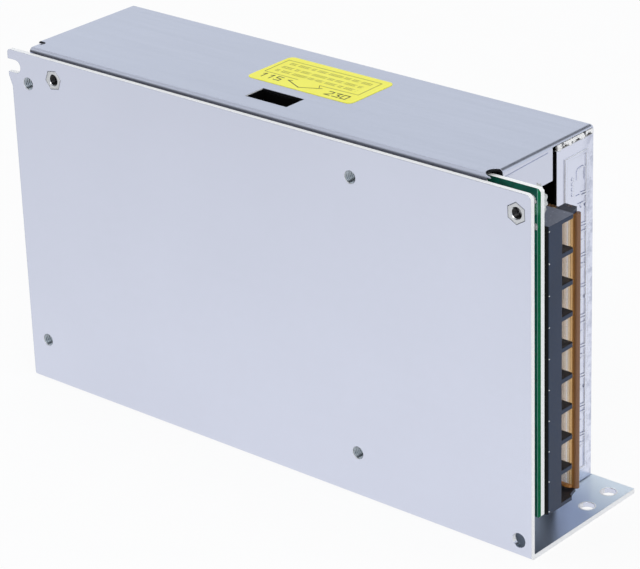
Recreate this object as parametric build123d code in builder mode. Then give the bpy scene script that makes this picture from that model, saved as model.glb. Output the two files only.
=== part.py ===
from build123d import *
import os
from math import cos, radians

os.makedirs("parts", exist_ok=True)

# Frame: X runs along the case to the terminal end, Y from the base plate's outer face
# into the case, Z up from the side wall that it stands on. All sizes are in millimetres.

# Overall size
overall_length = 199.0
overall_depth = 50.0
plate_height = 110.6
cover_rise = 1.4

# Sheets and boards
chassis_sheet = 1.5
cover_sheet = 0.8
board_sheet = 1.6
film_sheet = 0.4
bend_outside = 1.3
bend_inside = 0.3

# Chassis
lobe_reach = 1.3
lobe_web = 1.2
lobe_slant = 3.4
lobe_top_corner = 1.2
lobe_low_corner = 0.8
plate_corner = 1.8
slot_width = 4.2
slot_depth = 5.3
slot_drop = 5.2
tap_radius = 2.0
tap_collar_radius = 3.0
tap_collar_length = 2.4
tap_left_inset = 7.0
tap_pitch_x = 128.0
tap_pitch_z = 86.5
tap_low_z = 14.4
lug_hole_radius = 2.25
lug_hole_inset = 4.4
lug_hole_z = 5.2
ear_hole_radius = 2.25
ear_hole_inset = 4.8
ear_hole_far_inset = 6.1
ear_hole_pitch = 10.7
tab_width = 12.0
tab_rise = 9.0
tab_hole_drop = 3.6
far_tab_inset = 32.0
left_tab_from_front = 29.0

# Cover
cover_inset = 4.3
terminal_recess = 14.9
sheet_gap = 0.3
cover_foot_gap = 0.3
near_lip_height = 3.8
left_wall_start = 8.1
flange_start = 7.5
flange_end = 30.0
flange_height = 10.6
panel_start = 31.9
panel_top_gap = 2.6
relief_radius = 2.6
relief_inset = 0.6
left_step = 2.6
emboss_height = 0.35
emboss_line = 0.9
emboss_margin = 3.6
vent_across = 10.0
vent_pitch = 19.0
vent_border = 14.0
side_vent_across = 6.0
side_vent_pitch = 11.0
side_vent_height = 46.0
cover_screw_radius = 1.5
cover_screw_end = 1.0
recess_width = 0.7
recess_depth = 0.5

# Board
standoff_height = 4.1
standoff_across = 5.5
standoff_thread = 1.5
standoff_mouth = 0.4
standoff_turns = (10, 32)
standoff_left = 18.1
standoff_right_inset = 4.9
standoff_drop = 6.2
board_left_gap = 3.4
board_end_inset = 0.9
board_low_z = 10.8
board_top_gap = 0.8
board_corner = 0.8
board_screw_end_gap = 0.5
board_screw_head_radius = 2.75
board_screw_head_height = 1.8
thread_clearance = 0.05
film_margin = 2.0
film_clearance = 0.5
film_notch_clearance = 1.0
spacer_radius = 3.2
spacer_left = 12.0
spacer_left_z = 22.0
spacer_middle = 92.0
spacer_middle_z = 8.0

# Terminal block
terminal_pitch = 9.5
barrier_thickness = 1.3
block_low_z = 10.3
block_screw_gap = 3.2
block_front_inset = 1.0
block_case_gap = 0.8
block_foot_height = 2.3
block_foot_step = 1.6
block_foot_bevel = 1.3
block_floor_height = 6.0
block_band_height = 8.2
block_band_thickness = 1.2
barrier_height = 13.7
barrier_tip = 0.5
ear_thickness = 1.2
ear_width = 4.1
ear_rise = 0.7
ear_slant = 1.25
ear_corner = 0.35
rear_wall = 1.6
contact_thickness = 0.8
contact_width = 7.4
contact_pin_width = 3.0
contact_pin_inset = 2.6
contact_pin_length = 1.9
clamp_thickness = 1.0
clamp_size = 6.8
screw_offset = 0.6
screw_tip_pocket = 4.2
screw_tip_depth = 3.6
screw_tip_length = 2.4
terminal_screw_radius = 1.75
terminal_head_radius = 3.0
terminal_head_height = 2.2

# Terminal lid
lid_axis_inset = 4.3
lid_axis_height = 17.5
lid_pin_radius = 0.7
pin_clearance = 0.05
lid_sheet = 1.2
lid_bead_radius = 0.9
lid_bead_reach = 2.5
lid_rear_gap = 1.2
lid_end_gap = 0.3
lid_rib_length = 3.0
lid_rib_width = 1.0
lid_rib_gap = 0.3

# Voltage selector and its window
window_length = 15.8
window_depth = 7.8
window_from_right = 101.5
window_from_front = 13.1
selector_length = 24.0
selector_depth = 12.0
selector_height = 13.0
selector_well = 5.0
selector_travel = 7.4
slide_clearance = 0.15
slider_height = 1.6
slider_groove_width = 1.2
slider_groove_depth = 0.7
slider_groove_margin = 1.6

# Label
label_length = 40.0
label_width = 20.5
label_sheet = 0.15
label_from_right = 100.2
label_from_front = 31.8
label_corner = 2.0

# Parts on the board: clearances first, then each part's sizes and its place
seat_gap = 0.1
component_gap = 2.5
inner_round_sides = 20
can_sides = 32

trimmer_radius = 3.0
trimmer_height = 4.8
trimmer_case_gap = 1.1
trimmer_block_gap = 0.5
rotor_radius = 1.9
rotor_depth = 1.4
rotor_slot_length = 2.6
rotor_slot_width = 0.6
rotor_slot_depth = 0.7
status_light_radius = 1.5
status_light_height = 3.4
status_light_pitch = 5.0

fuse_radius = 2.6
fuse_length = 20.0
fuse_cap_length = 5.0
fuse_glass_inset = 0.3
fuse_inset = 5.0
fuse_drop = 7.5
fuse_rise = 5.6
clip_depth = 9.6
clip_width = 6.6
clip_wall = 0.6
clip_base = 1.2
clip_inset = 0.5

line_can_width = 18.0
line_can_thickness = 8.0
line_can_height = 15.0
line_can_corner = 0.8
line_can_inset = 4.0
line_can_drop = 22.0

thermistor_radius = 5.5
thermistor_thickness = 4.0
thermistor_rise = 7.5
thermistor_drop = 8.0
thermistor_base_width = 7.0
thermistor_base_height = 3.0
thermistor_base_thickness = 1.2

filter_width = 24.0
filter_length = 18.0
filter_limb = 4.0
filter_core_height = 4.5
filter_core_rise = 3.0
filter_coil_wall = 2.9
filter_coil_length = 15.0
filter_coil_corner = 1.5
filter_coil_clearance = 0.1
filter_drop = 27.0

rectifier_width = 22.0
rectifier_thickness = 6.0
rectifier_height = 17.0
rectifier_corner = 0.6
rectifier_drop = 9.0

bulk_radius = 11.0
bulk_height = 36.0
bulk_drop = 18.0

output_can_count = 3
output_can_radius = 6.25
output_can_height = 25.0
output_can_inset = 3.25
output_can_low_z = 18.0

choke_core_outer = 13.0
choke_core_inner = 7.6
choke_core_height = 11.0
choke_wire = 1.4
choke_turns = 22
choke_z = 33.0

transformer_width = 40.0
transformer_height = 33.0
transformer_thickness = 12.0
transformer_window = 8.0
transformer_yoke = 6.0
transformer_rise = 2.5
transformer_z = 45.0
bobbin_wall = 1.0
bobbin_clearance = 0.6
bobbin_rail_length = 26.0
bobbin_rail_width = 5.0
bobbin_rail_inset = 3.0
winding_corner = 2.0

driver_width = 19.0
driver_height = 16.0
driver_thickness = 5.0
driver_limb = 2.1
driver_middle_limb = 6.8
driver_yoke = 2.5
driver_coil_width = 14.4
driver_coil_length = 13.0
driver_coil_height = 10.8
driver_coil_clearance = 0.1
driver_inset = 14.0
driver_z = 62.0

chip_width = 6.4
chip_length = 19.5
chip_height = 3.5
chip_inset = 12.0
chip_z = 36.0

# Power parts on the side wall
power_width = 52.0
power_spread = 13.0
primary_inset = 18.0
output_inset = 30.5
spreader_thickness = 7.6
spreader_depth = 16.0
spreader_from_front = 8.5
pad_thickness = 0.3
pad_margin = 1.0
transistor_width = 10.2
transistor_height = 15.5
transistor_body_height = 9.3
transistor_thickness = 4.5
transistor_tab_thickness = 1.3
transistor_rise = 3.8
lead_pitch = 2.54
lead_width = 0.8
lead_thickness = 0.5
lead_height = 2.2
clamp_bar_sheet = 1.5
clamp_bar_width = 7.0
clamp_screw_radius = 1.5
clamp_screw_from_front = 18.0
clamp_head_across = 5.5
clamp_head_height = 2.0
clamp_screw_end_gap = 0.4


def save(piece, name):
    """Label a finished piece and write it as its own file."""
    piece.part.label = name
    export_step(piece.part, f"parts/{name}.step")


def depth_plane(y):
    """Plane facing the viewer of the base plate, at depth y; a negative amount goes deeper."""
    return Plane.XZ.offset(-y)


def box_between(low, high, mode=Mode.ADD):
    """A box between two opposite corners."""
    size = [b - a for a, b in zip(low, high)]
    middle = [(a + b) / 2 for a, b in zip(low, high)]
    with Locations(tuple(middle)):
        Box(*size, mode=mode)


def edge_near(piece, axis, point):
    """The edge along the axis that lies closest to the point."""
    return piece.edges().filter_by(axis).sort_by_distance(point)[0]


def thread_outline(radius):
    """Eight-sided section for threads and tapped holes that stay hidden."""
    RegularPolygon(radius, 8)


def inner_round(radius):
    """Many-sided section for screw heads and small round parts inside the case."""
    RegularPolygon(radius, inner_round_sides)


# Planes and edges that several pieces share
plate_left = -overall_length / 2 + lobe_reach
plate_right = overall_length / 2
plate_front = -overall_depth / 2
plate_back = plate_front + chassis_sheet
cover_back = overall_depth / 2
cover_top = plate_height + cover_rise
cover_left = plate_left + cover_inset
cover_right = plate_right - terminal_recess
cover_low = chassis_sheet + cover_foot_gap
cover_near = plate_back + sheet_gap
under_top = cover_top - cover_sheet
board_solder = plate_back + standoff_height
board_face = board_solder + board_sheet
board_left = cover_left + cover_sheet + board_left_gap
board_right = plate_right - board_end_inset
board_high = under_top - board_top_gap
standoff_z = plate_height - standoff_drop
standoff_x = (plate_left + standoff_left, plate_right - standoff_right_inset)
block_front = board_right + board_end_inset - block_front_inset
block_back = cover_right + block_case_gap
block_room = standoff_z - board_screw_head_radius - block_screw_gap - block_low_z
terminal_count = int((block_room - 2 * ear_thickness) / terminal_pitch)
block_length = terminal_count * terminal_pitch + 2 * ear_thickness
block_high_z = block_low_z + block_length
bay_centre_z = block_low_z + block_length / 2
bay_z = [
    bay_centre_z + (i - (terminal_count - 1) / 2) * terminal_pitch for i in range(terminal_count)
]
wall_z = [
    bay_centre_z + (i - terminal_count / 2) * terminal_pitch for i in range(1, terminal_count)
]
block_floor = board_face + block_floor_height
block_band = board_face + block_band_height
barrier_top = board_face + barrier_height
screw_x = (block_back + rear_wall + block_front) / 2 - screw_offset
lid_axis_x = block_front - lid_axis_inset
lid_axis_y = board_face + lid_axis_height
window_x = plate_right - window_from_right
window_y = plate_front + window_from_front

# Fixing points of the cover: two on the far side, one in the left end wall
far_tab_x = (cover_left + far_tab_inset, cover_right - far_tab_inset)
left_tab_y = plate_front + left_tab_from_front
tab_hole_z = chassis_sheet + tab_rise - tab_hole_drop
far_tab_y = cover_back - cover_sheet - seat_gap
left_tab_x = cover_left + cover_sheet + seat_gap

cover_head_radius = cover_screw_radius + cover_sheet
cover_screw_seats = [
    Plane((x, cover_back, tab_hole_z), x_dir=(1, 0, 0), z_dir=(0, 1, 0)) for x in far_tab_x
] + [Plane((cover_left, left_tab_y, tab_hole_z), x_dir=(0, 1, 0), z_dir=(-1, 0, 0))]

# Power parts stand in two groups along the side wall, each round a middle screw
spreader_high = chassis_sheet + spreader_thickness
power_groups = {
    "primary": cover_left + primary_inset + power_width / 2,
    "output": cover_right - output_inset - power_width / 2,
}
clamp_screw_y = plate_front + clamp_screw_from_front


def hex_outlines():
    """Hexagons of the two standoffs, each turned as it was pressed in."""
    for x, turn in zip(standoff_x, standoff_turns):
        with Locations((x, standoff_z)):
            RegularPolygon(standoff_across / 2, 6, major_radius=False, rotation=turn)


# Chassis: base plate and side wall folded from one aluminium sheet
tip_x = plate_left - lobe_reach
slot_z = plate_height - slot_drop
lobe_low_z = slot_z - slot_width / 2 - lobe_web
tap_points = [
    (plate_left + tap_left_inset + i * tap_pitch_x, tap_low_z + j * tap_pitch_z)
    for i in (0, 1)
    for j in (0, 1)
]
with BuildPart() as chassis:
    with BuildSketch(depth_plane(plate_front)) as plate_outline:
        with BuildLine():
            Polyline(
                (plate_left, 0),
                (plate_right, 0),
                (plate_right, plate_height),
                (tip_x, plate_height),
                (tip_x, lobe_low_z),
                (plate_left, lobe_low_z - lobe_slant),
                close=True,
            )
        make_face()
        fillet(plate_outline.vertices().sort_by_distance((plate_right, plate_height))[0], plate_corner)
        fillet(plate_outline.vertices().sort_by_distance((tip_x, plate_height))[0], lobe_top_corner)
        fillet(plate_outline.vertices().sort_by_distance((tip_x, lobe_low_z))[0], lobe_low_corner)
        with Locations((tip_x + slot_depth - slot_width / 2, slot_z)):
            Circle(slot_width / 2, mode=Mode.SUBTRACT)
            Rectangle(slot_depth, slot_width, align=(Align.MAX, Align.CENTER), mode=Mode.SUBTRACT)
    extrude(amount=-chassis_sheet)
    with BuildSketch(Plane.XY):
        with Locations(((plate_left + plate_right) / 2, (plate_front + cover_back) / 2)):
            Rectangle(plate_right - plate_left, cover_back - plate_front)
    extrude(amount=chassis_sheet)
    middle_x = (plate_left + plate_right) / 2
    fillet(edge_near(chassis, Axis.X, (middle_x, plate_front, 0)), bend_outside)
    fillet(edge_near(chassis, Axis.X, (middle_x, plate_back, chassis_sheet)), bend_inside)

    # Tapped holes in drawn collars, the lug hole and the hex seats of the standoffs
    with BuildSketch(depth_plane(plate_back)):
        with Locations(*tap_points):
            Circle(tap_collar_radius)
    extrude(amount=-tap_collar_length)
    with BuildSketch(depth_plane(plate_front)):
        with Locations(*tap_points):
            Circle(tap_radius)
        with Locations((plate_right - lug_hole_inset, lug_hole_z)):
            Circle(lug_hole_radius)
        hex_outlines()
    extrude(amount=-(chassis_sheet + tap_collar_length), mode=Mode.SUBTRACT)

    # Two holes in the ear that passes the terminals
    ear_hole_y = cover_back - ear_hole_far_inset
    with BuildSketch(Plane.XY):
        with Locations(
            (plate_right - ear_hole_inset, ear_hole_y),
            (plate_right - ear_hole_inset, ear_hole_y - ear_hole_pitch),
        ):
            Circle(ear_hole_radius)
        with Locations(*[(x, clamp_screw_y) for x in power_groups.values()]):
            thread_outline(clamp_screw_radius)
    extrude(amount=chassis_sheet, mode=Mode.SUBTRACT)

    # Tabs lanced out of the side wall take the cover screws; each leaves its window
    for x in far_tab_x:
        box_between(
            (x - tab_width / 2, far_tab_y - chassis_sheet - tab_rise, 0),
            (x + tab_width / 2, far_tab_y - chassis_sheet, chassis_sheet),
            mode=Mode.SUBTRACT,
        )
        box_between(
            (x - tab_width / 2, far_tab_y - chassis_sheet, 0),
            (x + tab_width / 2, far_tab_y, chassis_sheet + tab_rise),
        )
    box_between(
        (left_tab_x + chassis_sheet, left_tab_y - tab_width / 2, 0),
        (left_tab_x + chassis_sheet + tab_rise, left_tab_y + tab_width / 2, chassis_sheet),
        mode=Mode.SUBTRACT,
    )
    box_between(
        (left_tab_x, left_tab_y - tab_width / 2, 0),
        (left_tab_x + chassis_sheet, left_tab_y + tab_width / 2, chassis_sheet + tab_rise),
    )
    for seat in cover_screw_seats:
        with BuildSketch(seat):
            thread_outline(cover_screw_radius)
        extrude(amount=-(cover_sheet + seat_gap + chassis_sheet), mode=Mode.SUBTRACT)
save(chassis, "chassis")


def staggered(middle, centre, width, height, pitch):
    """Centres of a staggered field of holes, every other row one hole shorter."""
    row_step = pitch * cos(radians(30))
    columns = int(width / pitch) + 1
    rows = int(height / row_step) + 1
    centres = []
    for row in range(rows):
        count = columns - row % 2
        for column in range(count):
            across = middle + (column - (count - 1) / 2) * pitch
            centres.append((across, centre + (row - (rows - 1) / 2) * row_step))
    return centres


# Cover: one thin sheet with the top strip, far panel, end wall, flanges and embossed panel
flange_low = cover_top - flange_height
panel_high = cover_top - panel_top_gap
panel_near = plate_front + panel_start
far_vent_width = cover_right - cover_left - 2 * vent_border
side_vent_width = cover_back - plate_front - left_wall_start - vent_border
vent_height = cover_top - cover_low - 2 * vent_border
with BuildPart() as cover:
    box_between((cover_left, cover_near, cover_low), (cover_right, cover_back, cover_top))
    mid = ((cover_left + cover_right) / 2, (cover_near + cover_back) / 2, cover_top / 2)
    bends = [
        edge_near(cover, Axis.X, (mid[0], cover_near, cover_top)),
        edge_near(cover, Axis.X, (mid[0], cover_back, cover_top)),
        edge_near(cover, Axis.Y, (cover_right, mid[1], cover_top)),
        edge_near(cover, Axis.Y, (cover_left, mid[1], cover_top)),
        edge_near(cover, Axis.Z, (cover_right, cover_back, mid[2])),
        edge_near(cover, Axis.Z, (cover_left, cover_back, mid[2])),
    ]
    fillet(bends, bend_outside)
    offset(amount=-cover_sheet, openings=cover.faces().sort_by(Axis.Z)[0])

    # The near side is open below its lip, and the lip stops short of both ends
    lip_low = cover_top - near_lip_height
    box_between(
        (cover_left - 1, cover_near - 1, 0),
        (cover_right + 1, cover_near + bend_outside, lip_low),
        mode=Mode.SUBTRACT,
    )
    # Left end wall starts behind the near lip, with a step in the top strip
    step_x = cover_left + left_step
    box_between(
        (cover_left - 1, cover_near - 1, 0),
        (step_x, plate_front + left_wall_start, cover_top + 1),
        mode=Mode.SUBTRACT,
    )
    with BuildSketch(Plane.XY.offset(cover_top)):
        with Locations((step_x, plate_front + left_wall_start - relief_radius / 2)):
            Circle(relief_radius / 2)
        with Locations((cover_right - relief_inset, plate_front + flange_start - relief_radius)):
            Circle(relief_radius)
    extrude(amount=-bend_outside * 2, mode=Mode.SUBTRACT)

    # Slit between the left end wall and the top strip, beside their common corner
    box_between(
        (cover_left - 1, plate_front + left_wall_start - 1, under_top - sheet_gap),
        (cover_left + cover_sheet, cover_back - bend_outside, under_top),
        mode=Mode.SUBTRACT,
    )
    # Terminal end: open below the upper flange, with a slit beside the embossed panel
    box_between(
        (cover_right - bend_outside, cover_near - 1, 0),
        (cover_right + 1, panel_near, flange_low),
        mode=Mode.SUBTRACT,
    )
    box_between(
        (cover_right - bend_outside, cover_near - 1, 0),
        (cover_right + 1, plate_front + flange_start, under_top),
        mode=Mode.SUBTRACT,
    )
    box_between(
        (cover_right - bend_outside, plate_front + flange_end, 0),
        (cover_right + 1, panel_near, under_top),
        mode=Mode.SUBTRACT,
    )
    box_between(
        (cover_right - bend_outside, panel_near - 1, panel_high),
        (cover_right + 1, cover_back - bend_outside, under_top),
        mode=Mode.SUBTRACT,
    )

    # Embossed frame on the end panel
    frame_low = cover_low + emboss_margin
    frame_high = panel_high - emboss_margin
    frame_width = cover_back - panel_near - 2 * emboss_margin
    with BuildSketch(Plane.YZ.offset(cover_right)):
        with Locations(((panel_near + cover_back) / 2, (frame_low + frame_high) / 2)):
            Rectangle(frame_width, frame_high - frame_low)
            Rectangle(
                frame_width - 2 * emboss_line,
                frame_high - frame_low - 2 * emboss_line,
                mode=Mode.SUBTRACT,
            )
    extrude(amount=emboss_height)

    # Window of the voltage selector
    with BuildSketch(Plane.XY.offset(cover_top)):
        with Locations((window_x, window_y)):
            Rectangle(window_length, window_depth)
    extrude(amount=-cover_sheet, mode=Mode.SUBTRACT)

    # Hexagonal vents in staggered rows in the far panel and the left end wall
    centre_z = (cover_low + cover_top) / 2
    far_vents = staggered(mid[0], centre_z, far_vent_width, vent_height, vent_pitch)
    with BuildSketch(depth_plane(cover_back)):
        with Locations(*far_vents):
            RegularPolygon(vent_across / 2, 6, major_radius=False, rotation=30)
    extrude(amount=cover_sheet, mode=Mode.SUBTRACT)
    side_middle = (plate_front + left_wall_start + cover_back) / 2
    side_vents = staggered(side_middle, centre_z, side_vent_width, side_vent_height, side_vent_pitch)
    with BuildSketch(Plane.YZ.offset(cover_left)):
        with Locations(*side_vents):
            RegularPolygon(side_vent_across / 2, 6, major_radius=False, rotation=30)
    extrude(amount=cover_sheet, mode=Mode.SUBTRACT)

    # Countersunk screw holes
    for seat in cover_screw_seats:
        with Locations(seat):
            CounterSinkHole(cover_screw_radius, cover_head_radius, depth=cover_sheet)
save(cover, "cover")


# Hex standoffs pressed into the base plate, with threads for the board screws
with BuildPart() as hex_standoffs:
    with BuildSketch(depth_plane(plate_front)):
        hex_outlines()
        with Locations(*[(x, standoff_z) for x in standoff_x]):
            Circle(standoff_thread, mode=Mode.SUBTRACT)
    extrude(amount=-(chassis_sheet + standoff_height))
    mouths = hex_standoffs.edges().filter_by(GeomType.CIRCLE).group_by(Axis.Y)[0]
    chamfer(mouths, standoff_mouth)
save(hex_standoffs, "hex_standoffs")


# Insulation sheet on the base plate, cut out round the collars and standoffs
with BuildPart() as insulation_sheet:
    film_low = lug_hole_z + lug_hole_radius + film_margin
    film_high = lip_low - sheet_gap
    film_left = cover_left + film_margin
    film_right = board_right - film_margin
    with BuildSketch(depth_plane(plate_back)):
        with Locations(((film_left + film_right) / 2, (film_low + film_high) / 2)):
            Rectangle(film_right - film_left, film_high - film_low)
        cut_out = 2 * (tap_collar_radius + film_clearance)
        with Locations(*tap_points):
            Rectangle(cut_out, cut_out, mode=Mode.SUBTRACT)
        for x in standoff_x:
            with Locations((x, film_high)):
                Rectangle(
                    standoff_across + 2 * film_notch_clearance,
                    film_high - standoff_z + standoff_across / 2 + film_notch_clearance,
                    align=(Align.CENTER, Align.MAX),
                    mode=Mode.SUBTRACT,
                )
    extrude(amount=-film_sheet)
save(insulation_sheet, "insulation_sheet")


# Circuit board with holes for its screws and slots for the terminal pins
contact_pin_x = screw_x - contact_pin_inset
spacer_points = [
    (board_left + spacer_left, board_low_z + spacer_left_z),
    (board_left + spacer_middle, board_low_z + spacer_middle_z),
]
with BuildPart() as circuit_board:
    with BuildSketch(depth_plane(board_solder)) as board_outline:
        with Locations(((board_left + board_right) / 2, (board_low_z + board_high) / 2)):
            Rectangle(board_right - board_left, board_high - board_low_z)
        chamfer(board_outline.vertices(), board_corner)
        with Locations(*[(x, standoff_z) for x in standoff_x]):
            RegularPolygon(standoff_thread + seat_gap, 8, mode=Mode.SUBTRACT)
        with Locations(*[(contact_pin_x, z) for z in bay_z]):
            Rectangle(
                contact_thickness + 2 * seat_gap,
                contact_pin_width + 2 * seat_gap,
                mode=Mode.SUBTRACT,
            )
    extrude(amount=-board_sheet)
save(circuit_board, "circuit_board")


def machine_screws(points, shank_radius, shank_length, head_radius, head_height):
    """Cheese-head screws driven towards the base plate; each point lies under its head."""
    with BuildPart() as screws:
        for point in points:
            seat = Plane(point, x_dir=(1, 0, 0), z_dir=(0, 1, 0))
            with BuildSketch(seat):
                inner_round(head_radius)
            extrude(amount=head_height)
            with BuildSketch(seat):
                thread_outline(shank_radius)
            extrude(amount=-shank_length)
            with BuildSketch(seat.offset(head_height)):
                Rectangle(recess_width, 2 * head_radius)
            extrude(amount=-head_height / 2, mode=Mode.SUBTRACT)
    return screws


# Screws that hold the board on the standoffs
board_screws = machine_screws(
    [(x, board_face, standoff_z) for x in standoff_x],
    standoff_thread - thread_clearance,
    board_sheet + standoff_height - board_screw_end_gap,
    board_screw_head_radius,
    board_screw_head_height,
)
save(board_screws, "board_screws")

# Countersunk screws that hold the cover on the lanced tabs, flush with its faces
with BuildPart() as cover_screws:
    for seat in cover_screw_seats:
        with BuildSketch(seat):
            inner_round(cover_head_radius - thread_clearance)
        extrude(amount=-cover_sheet, taper=45)
        with BuildSketch(seat):
            thread_outline(cover_screw_radius - thread_clearance)
        extrude(amount=-(cover_sheet + seat_gap + chassis_sheet + cover_screw_end))
        with BuildSketch(seat):
            Rectangle(2 * cover_head_radius, recess_width)
        extrude(amount=-recess_depth, mode=Mode.SUBTRACT)
save(cover_screws, "cover_screws")

# Nylon spacers between the insulation sheet and the board
with BuildPart() as board_spacers:
    with BuildSketch(depth_plane(plate_back + film_sheet)):
        with Locations(*spacer_points):
            RegularPolygon(spacer_radius, 6)
    extrude(amount=-(standoff_height - film_sheet))
save(board_spacers, "board_spacers")


# Terminal block: base, band, barriers between the bays and ears for the lid
foot_front = block_front - block_foot_step
band_back = block_front - block_band_thickness
well_back = block_back + rear_wall
with BuildPart() as terminal_block:
    with BuildSketch(Plane.XY.offset(block_low_z)):
        with BuildLine():
            Polyline(
                (block_back, board_face),
                (foot_front, board_face),
                (foot_front, board_face + block_foot_bevel),
                (block_front, board_face + block_foot_height),
                (block_front, block_band),
                (band_back, block_band),
                (band_back, block_floor),
                (well_back, block_floor),
                (well_back, barrier_top),
                (block_back, barrier_top),
                close=True,
            )
        make_face()
    extrude(amount=block_length)
    # Barriers and end walls share one profile
    for z, thickness in (
        [(z, barrier_thickness) for z in wall_z]
        + [(block_low_z + ear_thickness / 2, ear_thickness)]
        + [(block_high_z - ear_thickness / 2, ear_thickness)]
    ):
        with BuildSketch(Plane.XY.offset(z - thickness / 2)):
            with BuildLine():
                Polyline(
                    (block_back, block_floor),
                    (block_front, block_floor),
                    (block_front, barrier_top - barrier_tip),
                    (block_front - barrier_tip, barrier_top),
                    (block_back, barrier_top),
                    close=True,
                )
            make_face()
        extrude(amount=thickness)
    # Ears at both ends carry the pins of the lid, each with a slanting front edge
    ear_top = lid_axis_y + ear_rise
    ear_back = lid_axis_x - ear_width / 2
    ear_front = lid_axis_x + ear_width / 2
    for z in (block_low_z, block_high_z - ear_thickness):
        with BuildSketch(Plane.XY.offset(z)) as ear:
            with BuildLine():
                Polyline(
                    (ear_back, block_floor),
                    (ear_back, ear_top),
                    (ear_front, ear_top),
                    (ear_front + ear_slant, barrier_top),
                    (ear_front + ear_slant, block_floor),
                    close=True,
                )
            make_face()
            fillet(ear.vertices().group_by(Axis.Y)[-1], ear_corner)
            with Locations((lid_axis_x, lid_axis_y)):
                Circle(lid_pin_radius + pin_clearance, mode=Mode.SUBTRACT)
        extrude(amount=ear_thickness)
    # Slots for the contact pins
    with BuildSketch(depth_plane(block_floor)):
        with Locations(*[(contact_pin_x, z) for z in bay_z]):
            Rectangle(contact_thickness + 2 * seat_gap, contact_pin_width + 2 * seat_gap)
    extrude(amount=block_floor_height, mode=Mode.SUBTRACT)
    # Clearance for the screw tips below the contacts
    with BuildSketch(depth_plane(block_floor)):
        with Locations(*[(screw_x, z) for z in bay_z]):
            Rectangle(screw_tip_pocket, screw_tip_pocket)
    extrude(amount=screw_tip_depth, mode=Mode.SUBTRACT)
save(terminal_block, "terminal_block")


# Contacts: a tapped plate on each bay's floor with a pin through the board
with BuildPart() as terminal_contacts:
    contact_left = well_back + seat_gap
    contact_right = band_back - seat_gap
    with BuildSketch(depth_plane(block_floor)):
        with Locations(*[((contact_left + contact_right) / 2, z) for z in bay_z]):
            Rectangle(contact_right - contact_left, contact_width)
        with Locations(*[(screw_x, z) for z in bay_z]):
            RegularPolygon(terminal_screw_radius, 8, mode=Mode.SUBTRACT)
    extrude(amount=-contact_thickness)
    with BuildSketch(depth_plane(block_floor)):
        with Locations(*[(contact_pin_x, z) for z in bay_z]):
            Rectangle(contact_thickness, contact_pin_width)
    extrude(amount=block_floor_height + board_sheet + contact_pin_length)
save(terminal_contacts, "terminal_contacts")

# Clamp plates under the screw heads
clamp_seat = block_floor + contact_thickness
with BuildPart() as clamp_plates:
    with BuildSketch(depth_plane(clamp_seat)):
        with Locations(*[(screw_x, z) for z in bay_z]):
            Rectangle(clamp_size, clamp_size)
            RegularPolygon(terminal_screw_radius + seat_gap, 8, mode=Mode.SUBTRACT)
    extrude(amount=-clamp_thickness)
save(clamp_plates, "clamp_plates")

terminal_screws = machine_screws(
    [(screw_x, clamp_seat + clamp_thickness, z) for z in bay_z],
    terminal_screw_radius - thread_clearance,
    clamp_thickness + contact_thickness + screw_tip_length,
    terminal_head_radius,
    terminal_head_height,
)
save(terminal_screws, "terminal_screws")


# Terminal lid: a thin plate with a rolled front bead, turning on two end pins
lid_low_z = block_low_z + ear_thickness + lid_end_gap
lid_high_z = block_high_z - ear_thickness - lid_end_gap
lid_inner_y = lid_axis_y - lid_sheet / 2
lid_rear_x = cover_right + lid_rear_gap
lid_bead_x = lid_axis_x + lid_bead_reach
with BuildPart() as terminal_lid:
    with BuildSketch(Plane.XY.offset(lid_low_z)):
        with Locations(((lid_rear_x + lid_bead_x) / 2, lid_axis_y)):
            Rectangle(lid_bead_x - lid_rear_x, lid_sheet)
        with Locations((lid_bead_x, lid_inner_y + lid_bead_radius)):
            Circle(lid_bead_radius)
    extrude(amount=lid_high_z - lid_low_z)
    # Two short ribs stand off the rear edge and rest on the block's rear wall
    for z in (lid_low_z, lid_high_z - lid_rib_width):
        box_between(
            (lid_rear_x, barrier_top + lid_rib_gap, z),
            (lid_rear_x + lid_rib_length, lid_inner_y, z + lid_rib_width),
        )
    with BuildSketch(Plane.XY.offset(block_low_z)):
        with Locations((lid_axis_x, lid_axis_y)):
            Circle(lid_pin_radius)
    extrude(amount=block_length)
save(terminal_lid, "terminal_lid")


# Voltage selector: body with an open well, and the slider in it
selector_face = under_top - sheet_gap
well_floor = selector_face - selector_well
with BuildPart() as selector_body:
    box_between(
        (window_x - selector_length / 2, board_face, selector_face - selector_height),
        (window_x + selector_length / 2, board_face + selector_depth, selector_face),
    )
    box_between(
        (window_x - window_length / 2, window_y - window_depth / 2, well_floor),
        (window_x + window_length / 2, window_y + window_depth / 2, selector_face),
        mode=Mode.SUBTRACT,
    )
save(selector_body, "selector_body")

slider_length = window_length - selector_travel - 2 * slide_clearance
slider_left = window_x - window_length / 2 + slide_clearance
slider_middle = slider_left + slider_length / 2
slider_near = window_y - window_depth / 2 + slide_clearance
slider_far = window_y + window_depth / 2 - slide_clearance
slider_low = well_floor + slide_clearance
slider_high = slider_low + slider_height
with BuildPart() as selector_slider:
    box_between(
        (slider_left, slider_near, slider_low),
        (slider_left + slider_length, slider_far, slider_high),
    )
    box_between(
        (
            slider_middle - slider_groove_width / 2,
            slider_near + slider_groove_margin,
            slider_high - slider_groove_depth,
        ),
        (slider_middle + slider_groove_width / 2, slider_far - slider_groove_margin, slider_high),
        mode=Mode.SUBTRACT,
    )
save(selector_slider, "selector_slider")

# Label beside the window
with BuildPart() as selector_label:
    with BuildSketch(Plane.XY.offset(cover_top)):
        with Locations((plate_right - label_from_right, plate_front + label_from_front)):
            RectangleRounded(label_length, label_width, label_corner)
    extrude(amount=label_sheet)
save(selector_label, "selector_label")


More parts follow.
